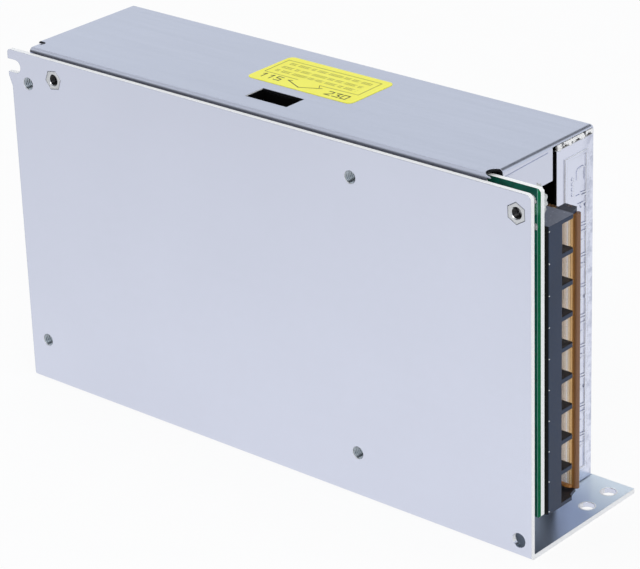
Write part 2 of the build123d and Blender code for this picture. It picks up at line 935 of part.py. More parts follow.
# Output trimmer and status light stand beside the terminal block
trimmer_x = cover_right + trimmer_case_gap + trimmer_radius
trimmer_z = block_high_z + trimmer_block_gap + trimmer_radius
with BuildPart() as trimmer_body:
    with BuildSketch(depth_plane(board_face)):
        with Locations((trimmer_x, trimmer_z)):
            Circle(trimmer_radius)
    extrude(amount=-trimmer_height)
    with BuildSketch(depth_plane(board_face + trimmer_height)):
        with Locations((trimmer_x, trimmer_z)):
            Circle(rotor_radius + pin_clearance)
    extrude(amount=rotor_depth, mode=Mode.SUBTRACT)
save(trimmer_body, "trimmer_body")

with BuildPart() as trimmer_rotor:
    with BuildSketch(depth_plane(board_face + trimmer_height - rotor_depth + pin_clearance)):
        with Locations((trimmer_x, trimmer_z)):
            Circle(rotor_radius)
    extrude(amount=-rotor_depth)
    with BuildSketch(depth_plane(board_face + trimmer_height + pin_clearance)):
        with Locations((trimmer_x, trimmer_z)):
            Rectangle(rotor_slot_length, rotor_slot_width)
    extrude(amount=rotor_slot_depth, mode=Mode.SUBTRACT)
save(trimmer_rotor, "trimmer_rotor")

with BuildPart() as status_light:
    with BuildSketch(depth_plane(board_face)):
        with Locations((trimmer_x, trimmer_z + status_light_pitch)):
            Circle(status_light_radius)
    extrude(amount=-status_light_height)
save(status_light, "status_light")


def can(x, z, radius, height):
    """Capacitor can standing on the board."""
    with BuildPart() as piece:
        with BuildSketch(depth_plane(board_face)):
            with Locations((x, z)):
                RegularPolygon(radius, can_sides)
        extrude(amount=-height)
    return piece


def block_on_board(x, z, width, length, height, corner=0.0):
    """Moulded part standing on the board: width along X, length along Z."""
    with BuildPart() as piece:
        with BuildSketch(depth_plane(board_face)):
            with Locations((x, z)):
                Rectangle(width, length)
        extrude(amount=-height)
        if corner:
            chamfer(piece.edges().filter_by(Axis.Y), corner)
    return piece


# Mains side along the board's upper edge, from the terminals inwards
fuse_x = cover_right - fuse_inset - fuse_length / 2
fuse_y = board_face + fuse_rise
fuse_z = board_high - fuse_drop
fuse_along = Plane((fuse_x - fuse_length / 2, fuse_y, fuse_z), x_dir=(0, 1, 0), z_dir=(1, 0, 0))
with BuildPart() as fuse_tube:
    with BuildSketch(fuse_along.offset(fuse_cap_length)):
        inner_round(fuse_radius - fuse_glass_inset)
    extrude(amount=fuse_length - 2 * fuse_cap_length)
save(fuse_tube, "fuse_tube")

with BuildPart() as fuse_caps:
    for start in (0, fuse_length - fuse_cap_length):
        with BuildSketch(fuse_along.offset(start)):
            inner_round(fuse_radius)
        extrude(amount=fuse_cap_length)
save(fuse_caps, "fuse_caps")

with BuildPart() as fuse_clips:
    for start in (clip_inset, fuse_length - fuse_cap_length + clip_inset):
        with BuildSketch(fuse_along.offset(start)):
            with Locations((-fuse_rise, 0)):
                Rectangle(clip_depth, clip_width, align=(Align.MIN, Align.CENTER))
            with Locations((clip_base - fuse_rise, 0)):
                Rectangle(
                    clip_depth,
                    clip_width - 2 * clip_wall,
                    align=(Align.MIN, Align.CENTER),
                    mode=Mode.SUBTRACT,
                )
        extrude(amount=fuse_cap_length - 2 * clip_inset)
save(fuse_clips, "fuse_clips")

line_can_x = cover_right - line_can_inset - line_can_width / 2
line_capacitor = block_on_board(
    line_can_x,
    board_high - line_can_drop,
    line_can_width,
    line_can_thickness,
    line_can_height,
    line_can_corner,
)
save(line_capacitor, "line_capacitor")

thermistor_x = fuse_x - fuse_length / 2 - component_gap - thermistor_radius
thermistor_z = board_high - thermistor_drop
with BuildPart() as thermistor:
    box_between(
        (
            thermistor_x - thermistor_base_width / 2,
            board_face,
            thermistor_z - thermistor_base_thickness / 2,
        ),
        (
            thermistor_x + thermistor_base_width / 2,
            board_face + thermistor_base_height,
            thermistor_z + thermistor_base_thickness / 2,
        ),
    )
    with BuildSketch(Plane.XY.offset(thermistor_z - thermistor_thickness / 2)):
        with Locations((thermistor_x, board_face + thermistor_rise)):
            Circle(thermistor_radius)
    extrude(amount=thermistor_thickness)
save(thermistor, "thermistor")

# Line filter: a rectangular core frame with one coil on each long limb
filter_x = line_can_x - line_can_width / 2 - component_gap - filter_width / 2
filter_z = board_high - filter_drop
limb_z = (filter_length - filter_limb) / 2
limb_y = board_face + filter_core_rise + filter_core_height / 2
coil_hole = filter_limb + 2 * filter_coil_clearance
coil_hole_depth = filter_core_height + 2 * filter_coil_clearance
with BuildPart() as line_filter_core:
    with BuildSketch(depth_plane(board_face + filter_core_rise)):
        with Locations((filter_x, filter_z)):
            Rectangle(filter_width, filter_length)
            Rectangle(
                filter_width - 2 * filter_limb,
                filter_length - 2 * filter_limb,
                mode=Mode.SUBTRACT,
            )
    extrude(amount=-filter_core_height)
save(line_filter_core, "line_filter_core")

for side, name in ((1, "line_filter_coil_upper"), (-1, "line_filter_coil_lower")):
    with BuildPart() as coil:
        with BuildSketch(Plane.YZ.offset(filter_x - filter_coil_length / 2)):
            with Locations((limb_y, filter_z + side * limb_z)):
                Rectangle(coil_hole_depth + 2 * filter_coil_wall, coil_hole + 2 * filter_coil_wall)
                Rectangle(coil_hole_depth, coil_hole, mode=Mode.SUBTRACT)
        extrude(amount=filter_coil_length)
        outer_edges = coil.edges().filter_by(Axis.X).group_by(Axis.Y)
        chamfer(outer_edges[0] + outer_edges[-1], filter_coil_corner)
    save(coil, name)

rectifier_x = thermistor_x - thermistor_radius - component_gap - rectifier_width / 2
bridge_rectifier = block_on_board(
    rectifier_x,
    board_high - rectifier_drop,
    rectifier_width,
    rectifier_thickness,
    rectifier_height,
    rectifier_corner,
)
save(bridge_rectifier, "bridge_rectifier")

bulk_right = window_x - selector_length / 2 - component_gap
for i in (0, 1):
    bulk_x = bulk_right - bulk_radius - i * (2 * bulk_radius + component_gap)
    bulk_capacitor = can(bulk_x, board_high - bulk_drop, bulk_radius, bulk_height)
    save(bulk_capacitor, f"bulk_capacitor_{i + 1}")

# Output capacitors behind the terminals, two to a column
can_pitch = 2 * output_can_radius + component_gap
for i in range(output_can_count):
    column, row = divmod(i, 2)
    can_x = cover_right - output_can_inset - output_can_radius - column * can_pitch
    can_z = board_low_z + output_can_low_z + row * can_pitch
    output_capacitor = can(can_x, can_z, output_can_radius, output_can_height)
    save(output_capacitor, f"output_capacitor_{i + 1}")

# Output choke: a ring core inside its winding, whose turns make flat facets round the ring
choke_outside = choke_core_outer + choke_wire
ring_x = can_x - output_can_radius - component_gap - choke_outside
ring_z = board_low_z + choke_z
with BuildPart() as output_choke_core:
    with BuildSketch(depth_plane(board_face + choke_wire)):
        with Locations((ring_x, ring_z)):
            RegularPolygon(choke_core_outer, choke_turns)
            RegularPolygon(choke_core_inner, choke_turns, mode=Mode.SUBTRACT)
    extrude(amount=-choke_core_height)
save(output_choke_core, "output_choke_core")

with BuildPart() as output_choke_winding:
    with BuildSketch(depth_plane(board_face)):
        with Locations((ring_x, ring_z)):
            RegularPolygon(choke_outside, choke_turns)
            RegularPolygon(choke_core_inner - choke_wire, choke_turns, mode=Mode.SUBTRACT)
    extrude(amount=-(choke_core_height + 2 * choke_wire))
    with BuildSketch(depth_plane(board_face + choke_wire - pin_clearance)):
        with Locations((ring_x, ring_z)):
            RegularPolygon(choke_core_outer + pin_clearance, choke_turns)
            RegularPolygon(choke_core_inner - pin_clearance, choke_turns, mode=Mode.SUBTRACT)
    extrude(amount=-(choke_core_height + 2 * pin_clearance), mode=Mode.SUBTRACT)
save(output_choke_winding, "output_choke_winding")

# Main transformer: ferrite frame, bobbin round its middle leg, and the winding
core_x = ring_x - choke_outside - component_gap - transformer_width / 2
core_z = board_low_z + transformer_z
core_low_y = board_face + transformer_rise
core_high_y = core_low_y + transformer_height
leg_width = transformer_width - 2 * transformer_window - 2 * transformer_yoke
window_low = core_low_y + transformer_yoke
window_high = core_high_y - transformer_yoke
with BuildPart() as transformer_core:
    box_between(
        (core_x - transformer_width / 2, core_low_y, core_z - transformer_thickness / 2),
        (core_x + transformer_width / 2, core_high_y, core_z + transformer_thickness / 2),
    )
    for side in (-1, 1):
        inner = core_x + side * leg_width / 2
        outer = inner + side * transformer_window
        box_between(
            (min(inner, outer), window_low, core_z - transformer_thickness / 2),
            (max(inner, outer), window_high, core_z + transformer_thickness / 2),
            mode=Mode.SUBTRACT,
        )
save(transformer_core, "transformer_core")


def ring_on_leg(piece_low, piece_high, inner_gap, reach):
    """Rectangular ring round the transformer's middle leg, from one depth to another."""
    with BuildSketch(depth_plane(piece_low)) as ring:
        with Locations((core_x, core_z)):
            Rectangle(leg_width + 2 * reach, transformer_thickness + 2 * reach)
            Rectangle(
                leg_width + 2 * inner_gap,
                transformer_thickness + 2 * inner_gap,
                mode=Mode.SUBTRACT,
            )
    extrude(ring.sketch, amount=-(piece_high - piece_low))


flange_reach = transformer_window - bobbin_clearance
bobbin_low = window_low + seat_gap
bobbin_high = window_high - seat_gap
with BuildPart() as transformer_bobbin:
    ring_on_leg(bobbin_low, bobbin_high, seat_gap, seat_gap + bobbin_wall)
    ring_on_leg(bobbin_low, bobbin_low + bobbin_wall, seat_gap, flange_reach)
    ring_on_leg(bobbin_high - bobbin_wall, bobbin_high, seat_gap, flange_reach)
    # Pin rails carry the transformer on the board
    for side in (-1, 1):
        rail = core_z + side * (transformer_thickness / 2 + flange_reach - bobbin_rail_inset)
        box_between(
            (core_x - bobbin_rail_length / 2, board_face, rail - bobbin_rail_width / 2),
            (core_x + bobbin_rail_length / 2, bobbin_low, rail + bobbin_rail_width / 2),
        )
save(transformer_bobbin, "transformer_bobbin")

with BuildPart() as transformer_winding:
    ring_on_leg(
        bobbin_low + bobbin_wall + seat_gap,
        bobbin_high - bobbin_wall - seat_gap,
        bobbin_wall + 2 * seat_gap,
        flange_reach - bobbin_clearance,
    )
    corner_edges = transformer_winding.edges().filter_by(Axis.Y).group_by(Axis.X)
    chamfer(corner_edges[0] + corner_edges[-1], winding_corner)
save(transformer_winding, "transformer_winding")

# Driver transformer and controller at the closed end of the board
driver_x = board_left + driver_inset
driver_middle_z = board_low_z + driver_z
driver_middle_y = board_face + driver_height / 2
driver_window = (driver_width - driver_middle_limb) / 2 - driver_limb
driver_window_x = (driver_middle_limb + driver_window) / 2
with BuildPart() as driver_core:
    with BuildSketch(Plane.XY.offset(driver_middle_z - driver_thickness / 2)):
        with Locations((driver_x, driver_middle_y)):
            Rectangle(driver_width, driver_height)
            with Locations((driver_window_x, 0), (-driver_window_x, 0)):
                Rectangle(driver_window, driver_height - 2 * driver_yoke, mode=Mode.SUBTRACT)
    extrude(amount=driver_thickness)
save(driver_core, "driver_core")

with BuildPart() as driver_coil:
    with BuildSketch(depth_plane(driver_middle_y - driver_coil_height / 2)):
        with Locations((driver_x, driver_middle_z)):
            Rectangle(driver_coil_width, driver_coil_length)
            Rectangle(
                driver_middle_limb + 2 * driver_coil_clearance,
                driver_thickness + 2 * driver_coil_clearance,
                mode=Mode.SUBTRACT,
            )
    extrude(amount=-driver_coil_height)
save(driver_coil, "driver_coil")

controller_chip = block_on_board(
    board_left + chip_inset, board_low_z + chip_z, chip_width, chip_length, chip_height
)
save(controller_chip, "controller_chip")

# Power parts: two devices, their pads, a heat spreader and a clamp bar in each group
device_names = {
    "primary": ("primary_transistor_1", "primary_transistor_2"),
    "output": ("output_diode_1", "output_diode_2"),
}
device_low_z = spreader_high + pad_thickness
device_high_z = device_low_z + transistor_thickness
device_y = board_face + transistor_rise
device_body_y = device_y + transistor_body_height
lead_low_z = device_low_z + lead_height
spreader_y = plate_front + spreader_from_front
clamp_head_z = device_high_z + clamp_bar_sheet
clamp_reach = power_spread + transistor_width / 2
for group, middle in power_groups.items():
    with BuildPart() as heat_spreader:
        box_between(
            (middle - power_width / 2, spreader_y, chassis_sheet),
            (middle + power_width / 2, spreader_y + spreader_depth, spreader_high),
        )
        with BuildSketch(Plane.XY.offset(chassis_sheet)):
            with Locations((middle, clamp_screw_y)):
                thread_outline(clamp_screw_radius + seat_gap)
        extrude(amount=spreader_thickness, mode=Mode.SUBTRACT)
    save(heat_spreader, f"{group}_heat_spreader")

    with BuildPart() as insulating_pads:
        for side in (-1, 1):
            pad_x = middle + side * power_spread
            pad_reach = transistor_width / 2 + pad_margin
            box_between(
                (pad_x - pad_reach, spreader_y, spreader_high),
                (pad_x + pad_reach, spreader_y + spreader_depth, device_low_z),
            )
    save(insulating_pads, f"{group}_insulating_pads")

    for name, side in zip(device_names[group], (-1, 1)):
        device_x = middle + side * power_spread
        device_left = device_x - transistor_width / 2
        device_right = device_x + transistor_width / 2
        with BuildPart() as device:
            box_between(
                (device_left, device_y, device_low_z),
                (device_right, device_body_y, device_high_z),
            )
            box_between(
                (device_left, device_body_y, device_low_z),
                (device_right, device_y + transistor_height, device_low_z + transistor_tab_thickness),
            )
            for step in (-1, 0, 1):
                lead_x = device_x + step * lead_pitch
                box_between(
                    (lead_x - lead_width / 2, board_face, lead_low_z),
                    (lead_x + lead_width / 2, device_y, lead_low_z + lead_thickness),
                )
        save(device, name)

    with BuildPart() as clamp_bar:
        box_between(
            (middle - clamp_reach, clamp_screw_y - clamp_bar_width / 2, device_high_z),
            (middle + clamp_reach, clamp_screw_y + clamp_bar_width / 2, clamp_head_z),
        )
        with BuildSketch(Plane.XY.offset(device_high_z)):
            with Locations((middle, clamp_screw_y)):
                thread_outline(clamp_screw_radius + seat_gap)
        extrude(amount=clamp_bar_sheet, mode=Mode.SUBTRACT)
    save(clamp_bar, f"{group}_clamp_bar")

# Hex-head screws through bars and spreaders into the side wall
with BuildPart() as clamp_screws:
    for middle in power_groups.values():
        head_seat = Plane.XY.offset(clamp_head_z)
        with BuildSketch(head_seat):
            with Locations((middle, clamp_screw_y)):
                RegularPolygon(clamp_head_across / 2, 6, major_radius=False)
        extrude(amount=clamp_head_height)
        with BuildSketch(head_seat):
            with Locations((middle, clamp_screw_y)):
                thread_outline(clamp_screw_radius - thread_clearance)
        extrude(amount=-(clamp_head_z - clamp_screw_end_gap))
save(clamp_screws, "clamp_screws")
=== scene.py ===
from math import cos, pi, radians, sin

import bmesh
import bpy
from mathutils import Matrix, Vector


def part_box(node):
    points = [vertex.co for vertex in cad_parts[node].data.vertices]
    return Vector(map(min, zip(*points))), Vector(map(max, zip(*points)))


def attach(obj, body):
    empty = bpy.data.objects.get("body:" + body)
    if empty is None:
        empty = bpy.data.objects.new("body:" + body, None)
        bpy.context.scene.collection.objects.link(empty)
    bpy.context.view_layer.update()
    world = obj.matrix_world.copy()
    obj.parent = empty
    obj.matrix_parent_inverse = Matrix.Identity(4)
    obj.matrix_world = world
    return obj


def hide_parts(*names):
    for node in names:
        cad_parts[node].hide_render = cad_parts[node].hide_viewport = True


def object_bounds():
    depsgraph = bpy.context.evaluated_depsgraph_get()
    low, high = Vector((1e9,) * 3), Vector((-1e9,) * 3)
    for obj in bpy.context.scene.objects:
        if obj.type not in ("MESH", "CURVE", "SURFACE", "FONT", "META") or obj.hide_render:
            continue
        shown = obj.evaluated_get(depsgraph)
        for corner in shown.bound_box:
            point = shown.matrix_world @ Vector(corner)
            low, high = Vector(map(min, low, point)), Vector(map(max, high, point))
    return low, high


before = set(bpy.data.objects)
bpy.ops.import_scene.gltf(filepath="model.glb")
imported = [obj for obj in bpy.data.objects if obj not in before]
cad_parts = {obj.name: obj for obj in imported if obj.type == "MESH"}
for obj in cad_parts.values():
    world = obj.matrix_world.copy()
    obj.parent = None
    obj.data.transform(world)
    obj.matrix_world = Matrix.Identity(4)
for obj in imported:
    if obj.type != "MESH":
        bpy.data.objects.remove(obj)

cad_low, cad_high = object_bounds()
MM = 0.001

# Places read from the CAD frame, in metres
chassis_low, chassis_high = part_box("chassis")
cover_low, cover_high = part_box("cover")
board_low, board_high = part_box("circuit_board")
_, block_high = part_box("terminal_block")
label_low, label_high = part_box("selector_label")
_, standoff_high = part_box("hex_standoffs")

# Values shared with the CAD source, in millimetres
TAP_POINTS = [(-91.2, 14.4), (-91.2, 100.9), (36.8, 14.4), (36.8, 100.9)]
TAP_RADIUS = 2.0
TAP_DEPTH = 3.9
STANDOFF_POINTS = [(-80.1, 104.4), (94.6, 104.4)]
STANDOFF_TURNS = [10, 32]
STANDOFF_ACROSS = 5.5
PITCH = 9.5
BAYS = 9
BAY_CENTRE = 54.25
PIN_X = 89.55
LABEL_CORNER = 2.0
CHASSIS_SHEET = 1.5
EAR_HOLE_X = 94.7
EAR_HOLE_YS = (18.9, 8.2)
BAY_Z = [BAY_CENTRE + (i - (BAYS - 1) / 2) * PITCH for i in range(BAYS)]
WALL_Z = [BAY_CENTRE + (i - BAYS / 2) * PITCH for i in range(BAYS + 1)]


# Node helpers
def new_material(name):
    """A node material; returns it with its tree and its main shader."""
    material = bpy.data.materials.new(name)
    material.use_nodes = True
    tree = material.node_tree
    shader = next(n for n in tree.nodes if n.type == "BSDF_PRINCIPLED")
    return material, tree, shader


def add(tree, kind, **values):
    node = tree.nodes.new(kind)
    for key, value in values.items():
        setattr(node, key, value)
    return node


def object_point(tree, scale=(1, 1, 1)):
    """Object coordinates, stretched by a scale along each axis."""
    coord = add(tree, "ShaderNodeTexCoord")
    mapping = add(tree, "ShaderNodeMapping")
    mapping.inputs["Scale"].default_value = scale
    tree.links.new(coord.outputs["Object"], mapping.inputs["Vector"])
    return mapping.outputs["Vector"]


def noise(tree, scale, stretch=(1, 1, 1), detail=3.0, rough=0.55):
    node = add(tree, "ShaderNodeTexNoise")
    node.inputs["Scale"].default_value = scale
    node.inputs["Detail"].default_value = detail
    node.inputs["Roughness"].default_value = rough
    tree.links.new(object_point(tree, stretch), node.inputs["Vector"])
    return node.outputs["Fac"]


def spread(tree, value, low, high, start=0.3, end=0.7):
    """Maps a value's middle range onto low..high."""
    node = add(tree, "ShaderNodeMapRange")
    node.inputs["From Min"].default_value = start
    node.inputs["From Max"].default_value = end
    node.inputs["To Min"].default_value = low
    node.inputs["To Max"].default_value = high
    tree.links.new(value, node.inputs["Value"])
    return node.outputs["Result"]


def maths(tree, operation, a, b=None):
    node = add(tree, "ShaderNodeMath", operation=operation)
    for socket, value in ((0, a), (1, b)):
        if value is None:
            continue
        if isinstance(value, (int, float)):
            node.inputs[socket].default_value = value
        else:
            tree.links.new(value, node.inputs[socket])
    return node.outputs[0]


def mix_colour(tree, factor, a, b, mode="MIX"):
    """Mixes two colours; 6, 7 and output 2 are the node's sockets for colour."""
    node = add(tree, "ShaderNodeMix", data_type="RGBA", blend_type=mode)
    for socket, value in ((0, factor), (6, a), (7, b)):
        if isinstance(value, (int, float)):
            node.inputs[socket].default_value = value
        elif isinstance(value, tuple):
            node.inputs[socket].default_value = (*value, 1) if len(value) == 3 else value
        else:
            tree.links.new(value, node.inputs[socket])
    return node.outputs[2]


def bump(tree, shader, height, strength, distance, base=None):
    node = add(tree, "ShaderNodeBump")
    node.inputs["Strength"].default_value = strength
    node.inputs["Distance"].default_value = distance
    tree.links.new(height, node.inputs["Height"])
    if base is not None:
        tree.links.new(base, node.inputs["Normal"])
    tree.links.new(node.outputs["Normal"], shader.inputs["Normal"])


def bevel(tree, radius):
    node = add(tree, "ShaderNodeBevel", samples=4)
    node.inputs["Radius"].default_value = radius
    return node.outputs["Normal"]


# Limits of the masks, in metres
NEAR = 0.0001
WALL_BEND_Z = 0.004
WALL_FACE_Z = 0.01
WALL_FADE_Y = (0.006, 0.024)
EAR_START_X = 0.0846
EAR_FADE_Y = (0.004, 0.022)
VENTED_X = (-0.0925, 0.0835)
SLIT_Y = (-0.0205, 0.0235)
WINDOW_X = (-0.011, 0.007)
WINDOW_RIM_Z = 0.11175
LOW_EDGE_Z = 0.1105
UP_EDGE_Z = 0.1115
NOTCH_Z = (0.1113, 0.11199)
RELIEF_X = (0.0805, 0.0845)
RELIEF_END_Y = -0.0135
BEND_DEPTH = 0.002
END_PANEL_Y = 0.0065
SMUDGE_Y = (0.017, 0.024)
FRAME_DEPTH = 0.0004
FRAME_Y = (-0.0125, 0.0236)
FRAME_TOP_Z = 0.1075
CASE_MIDDLE = (-0.0046, 0.0, 0.056)
BLOCK_END_Z = 0.0978
BLOCK_STEP_Y = -0.0041
BLOCK_FOOT_Y = -0.0156
END_BAND_X = 0.0976
END_HIGHLIGHT_X = (0.09735, 0.0976)
LID_X = (0.0858, 0.0976)
LID_CLEAR_X = (0.0955, 0.0962)
LID_PIN_REACH = 0.0426
SQUARE = 0.9  # how far a normal lies along an axis when its face counts as square to it


# Masks: each gives 1 on some faces and 0 elsewhere, or a share between
def faces_of(tree):
    """The flat normal and the object coordinates, each split in x, y and z."""
    geometry = add(tree, "ShaderNodeNewGeometry")
    normal = add(tree, "ShaderNodeSeparateXYZ")
    tree.links.new(geometry.outputs["True Normal"], normal.inputs[0])
    place = add(tree, "ShaderNodeSeparateXYZ")
    tree.links.new(object_point(tree), place.inputs[0])
    return normal.outputs, place.outputs


def above(tree, value, limit):
    return maths(tree, "GREATER_THAN", value, limit)


def below(tree, value, limit):
    return maths(tree, "LESS_THAN", value, limit)


def within(tree, value, low, high):
    return maths(tree, "MULTIPLY", above(tree, value, low), below(tree, value, high))


def absolute(tree, value):
    """The size of a value, whatever its sign."""
    return maths(tree, "ABSOLUTE", value)


def facing(tree, component):
    """Faces square to an axis, whichever way they look."""
    return above(tree, absolute(tree, component), SQUARE)


def fade_in(tree, value, start, end):
    """0 up to a start, and from there up to 1 at an end."""
    return spread(tree, value, 0.0, 1.0, start, end)


def share_of(tree, mask, share):
    return maths(tree, "MULTIPLY", mask, share)


def all_of(tree, *masks):
    result = masks[0]
    for mask in masks[1:]:
        result = maths(tree, "MULTIPLY", result, mask)
    return result


def any_of(tree, *masks):
    result = masks[0]
    for mask in masks[1:]:
        result = maths(tree, "MAXIMUM", result, mask)
    return result


def chassis_edges(tree, normal, place):
    """Sheared edges of the plate and of the side wall."""
    plate = all_of(
        tree,
        below(tree, absolute(tree, normal[1]), 0.5),
        below(tree, place[1], chassis_low.y + CHASSIS_SHEET * MM + NEAR),
        above(tree, place[2], WALL_BEND_Z),
    )
    rear = all_of(
        tree,
        above(tree, normal[1], SQUARE),
        above(tree, place[1], chassis_high.y - NEAR),
    )
    return any_of(tree, plate, facing(tree, normal[0]), rear)


def cover_edges(tree, normal, place):
    """Sheared edges of the cover: the window, the slits, the end panel and the vents; also a
    painted highlight on the steps of the end panel's pressed frame.
    """
    ends = all_of(tree, facing(tree, normal[0]), within(tree, place[0], *VENTED_X))
    sides = all_of(
        tree,
        above(tree, normal[1], SQUARE),
        within(tree, place[1], *SLIT_Y),
        below(tree, place[0], RELIEF_X[0]),
    )
    window_rim = all_of(
        tree,
        within(tree, place[0], *WINDOW_X),
        above(tree, place[2], WINDOW_RIM_Z),
    )
    low = any_of(tree, below(tree, place[2], LOW_EDGE_Z), window_rim)
    upward = all_of(tree, above(tree, normal[2], SQUARE), below(tree, place[2], UP_EDGE_Z))
    # Painted highlight: the steps of the pressed frame on the end panel, paled like a sheared edge
    frame_step_highlight = all_of(
        tree,
        above(tree, place[0], cover_high.x - FRAME_DEPTH),
        below(tree, absolute(tree, normal[0]), SQUARE),
        below(tree, place[2], FRAME_TOP_Z),
        within(tree, place[1], *FRAME_Y),
    )
    return any_of(
        tree,
        all_of(tree, ends, low),
        all_of(tree, sides, low),
        upward,
        share_of(tree, frame_step_highlight, 0.65),
    )


SEAM_WIDTH = 0.16  # millimetres


def standoff_seam_shade(tree, normal, place):
    """Painted shade in the seam gap round each pressed-in hexagon, drawn as a dark line in the
    plate.
    """
    seams = []
    for (x, z), turn in zip(STANDOFF_POINTS, STANDOFF_TURNS):
        along = maths(tree, "SUBTRACT", place[0], x * MM)
        up = maths(tree, "SUBTRACT", place[2], z * MM)
        flats = []
        for flat in (30, 90, 150):
            angle = radians(turn + flat)
            reach = maths(tree, "MULTIPLY", along, cos(angle))
            reach = maths(tree, "ADD", reach, maths(tree, "MULTIPLY", up, sin(angle)))
            flats.append(maths(tree, "ABSOLUTE", reach))
        farthest = any_of(tree, *flats)
        seams.append(below(tree, farthest, (STANDOFF_ACROSS / 2 + SEAM_WIDTH) * MM))
    return all_of(tree, any_of(tree, *seams), facing(tree, normal[1]))


def inner_faces(tree, normal, place):
    """Faces of the cover that look into the case, and the walls of its notches, which get painted
    shade.
    """
    parts = []
    for i, middle in enumerate(CASE_MIDDLE):
        from_middle = maths(tree, "SUBTRACT", place[i], middle)
        parts.append(maths(tree, "MULTIPLY", normal[i], from_middle))
    outward = maths(tree, "ADD", maths(tree, "ADD", parts[0], parts[1]), parts[2])
    inward = all_of(
        tree,
        below(tree, outward, 0.0),
        below(tree, place[0], cover_high.x - FRAME_DEPTH),
    )
    upright = below(tree, absolute(tree, normal[2]), 0.1)
    notch = all_of(tree, within(tree, place[2], *NOTCH_Z), upright)
    relief = all_of(
        tree,
        upright,
        within(tree, place[0], *RELIEF_X),
        within(tree, place[1], cover_low.y + NEAR, RELIEF_END_Y),
    )
    return any_of(tree, inward, notch, relief)


# Sheet metal
METAL_TINT = (0.660, 0.690, 0.810)
# Painted light: the end panel is a lighter copy of the sheet's tint
END_PANEL_LIGHT_TINT = (0.735, 0.765, 0.895)
SMUDGE_TINT = (0.50, 0.53, 0.66)
# Painted shade: near black for the faces inside the case and the notch walls
INSIDE_SHADE_TINT = (0.03, 0.031, 0.036)
# Painted shade for the near bend: a mid grey, and a darker one low on it
BEND_SHADE_TINT = (0.50, 0.53, 0.64)
LOW_BEND_SHADE_TINT = (0.07, 0.075, 0.10)
SHEARED_TINT = (0.98, 0.98, 0.985)
# Painted reflections on the side wall's inner face: a dark blue one and a pale one
WALL_DARK_REFLECTION_TINT = (0.46, 0.58, 0.78)
WALL_BRIGHT_REFLECTION_TINT = (0.80, 0.90, 1.0)
# Painted shade for the seam gap round the hexagons
SEAM_SHADE_TINT = (0.16, 0.17, 0.21)


def rolled_sheet(name):
    """Starts a sheet's material with streaks along X and fine specks."""
    material, tree, shader = new_material(name)
    streaks = noise(tree, 1.0, (26, 800, 800), detail=4.0)
    speck = noise(tree, 700.0, detail=2.0)
    normal, place = faces_of(tree)
    return material, tree, shader, streaks, speck, normal, place


def sheet_colour(tree, streaks, speck):
    """Bright metal with faint clouds, streaks and specks."""
    cloud = spread(tree, noise(tree, 11.0, detail=2.0), 0.975, 1.015)
    shade = maths(tree, "ADD", cloud, spread(tree, speck, -0.006, 0.006))
    shade = maths(tree, "ADD", shade, spread(tree, streaks, -0.006, 0.006))
    return mix_colour(tree, 1.0, METAL_TINT, shade, "MULTIPLY")


def sheared(tree, mask, colour, roughness):
    """Paints sheared edges pale and rough; also returns how far they lose their mirror."""
    colour = mix_colour(tree, mask, colour, SHEARED_TINT)
    roughness = maths(tree, "ADD", roughness, share_of(tree, mask, 0.3))
    return colour, roughness, share_of(tree, mask, 0.9)


def finish_sheet(tree, shader, colour, roughness, bare, height, relief):
    tree.links.new(maths(tree, "SUBTRACT", 1.0, bare), shader.inputs["Metallic"])
    tree.links.new(colour, shader.inputs["Base Color"])
    tree.links.new(roughness, shader.inputs["Roughness"])
    bump(tree, shader, height, relief, 0.00002, bevel(tree, 0.0003))


def chassis_material():
    """Bright aluminium, smoother and paler on the side wall's inner face, which carries painted
    reflections: dark blue near the block and pale towards its end.
    """
    material, tree, shader, streaks, speck, normal, place = rolled_sheet("chassis_sheet")
    wall = all_of(tree, above(tree, normal[2], SQUARE), below(tree, place[2], WALL_FACE_Z))
    rolled = maths(tree, "SUBTRACT", 1.0, wall)
    smooth = share_of(tree, wall, 0.5)
    streaks = maths(tree, "ADD", maths(tree, "MULTIPLY", streaks, rolled), smooth)
    colour = sheet_colour(tree, streaks, speck)
    roughness = spread(tree, streaks, 0.18, 0.22)
    edges = chassis_edges(tree, normal, place)
    colour, roughness, bare = sheared(tree, edges, colour, roughness)
    wall_share = spread(tree, place[1], 0.125, 0.75, *WALL_FADE_Y)
    bare = any_of(tree, bare, maths(tree, "MULTIPLY", wall, wall_share))
    roughness = maths(tree, "ADD", roughness, share_of(tree, wall, 0.08))
    # Painted reflection: the side wall's inner face grows pale towards its end, standing in for a
    # bright reflection
    bright_reflection = all_of(
        tree,
        wall,
        above(tree, place[0], EAR_START_X),
        fade_in(tree, place[1], *EAR_FADE_Y),
    )
    # Painted reflection: the side wall's inner face is tinted dark blue, as where it mirrors the
    # block
    colour = mix_colour(tree, share_of(tree, wall, 0.7), colour, WALL_DARK_REFLECTION_TINT)
    colour = mix_colour(tree, bright_reflection, colour, WALL_BRIGHT_REFLECTION_TINT)
    # Painted shade: a dark line in the seam round each hexagon
    colour = mix_colour(tree, standoff_seam_shade(tree, normal, place), colour, SEAM_SHADE_TINT)
    height = maths(tree, "ADD", streaks, share_of(tree, speck, 0.5))
    height = maths(tree, "MULTIPLY", height, rolled)
    finish_sheet(tree, shader, colour, roughness, bare, height, 0.002)
    return material


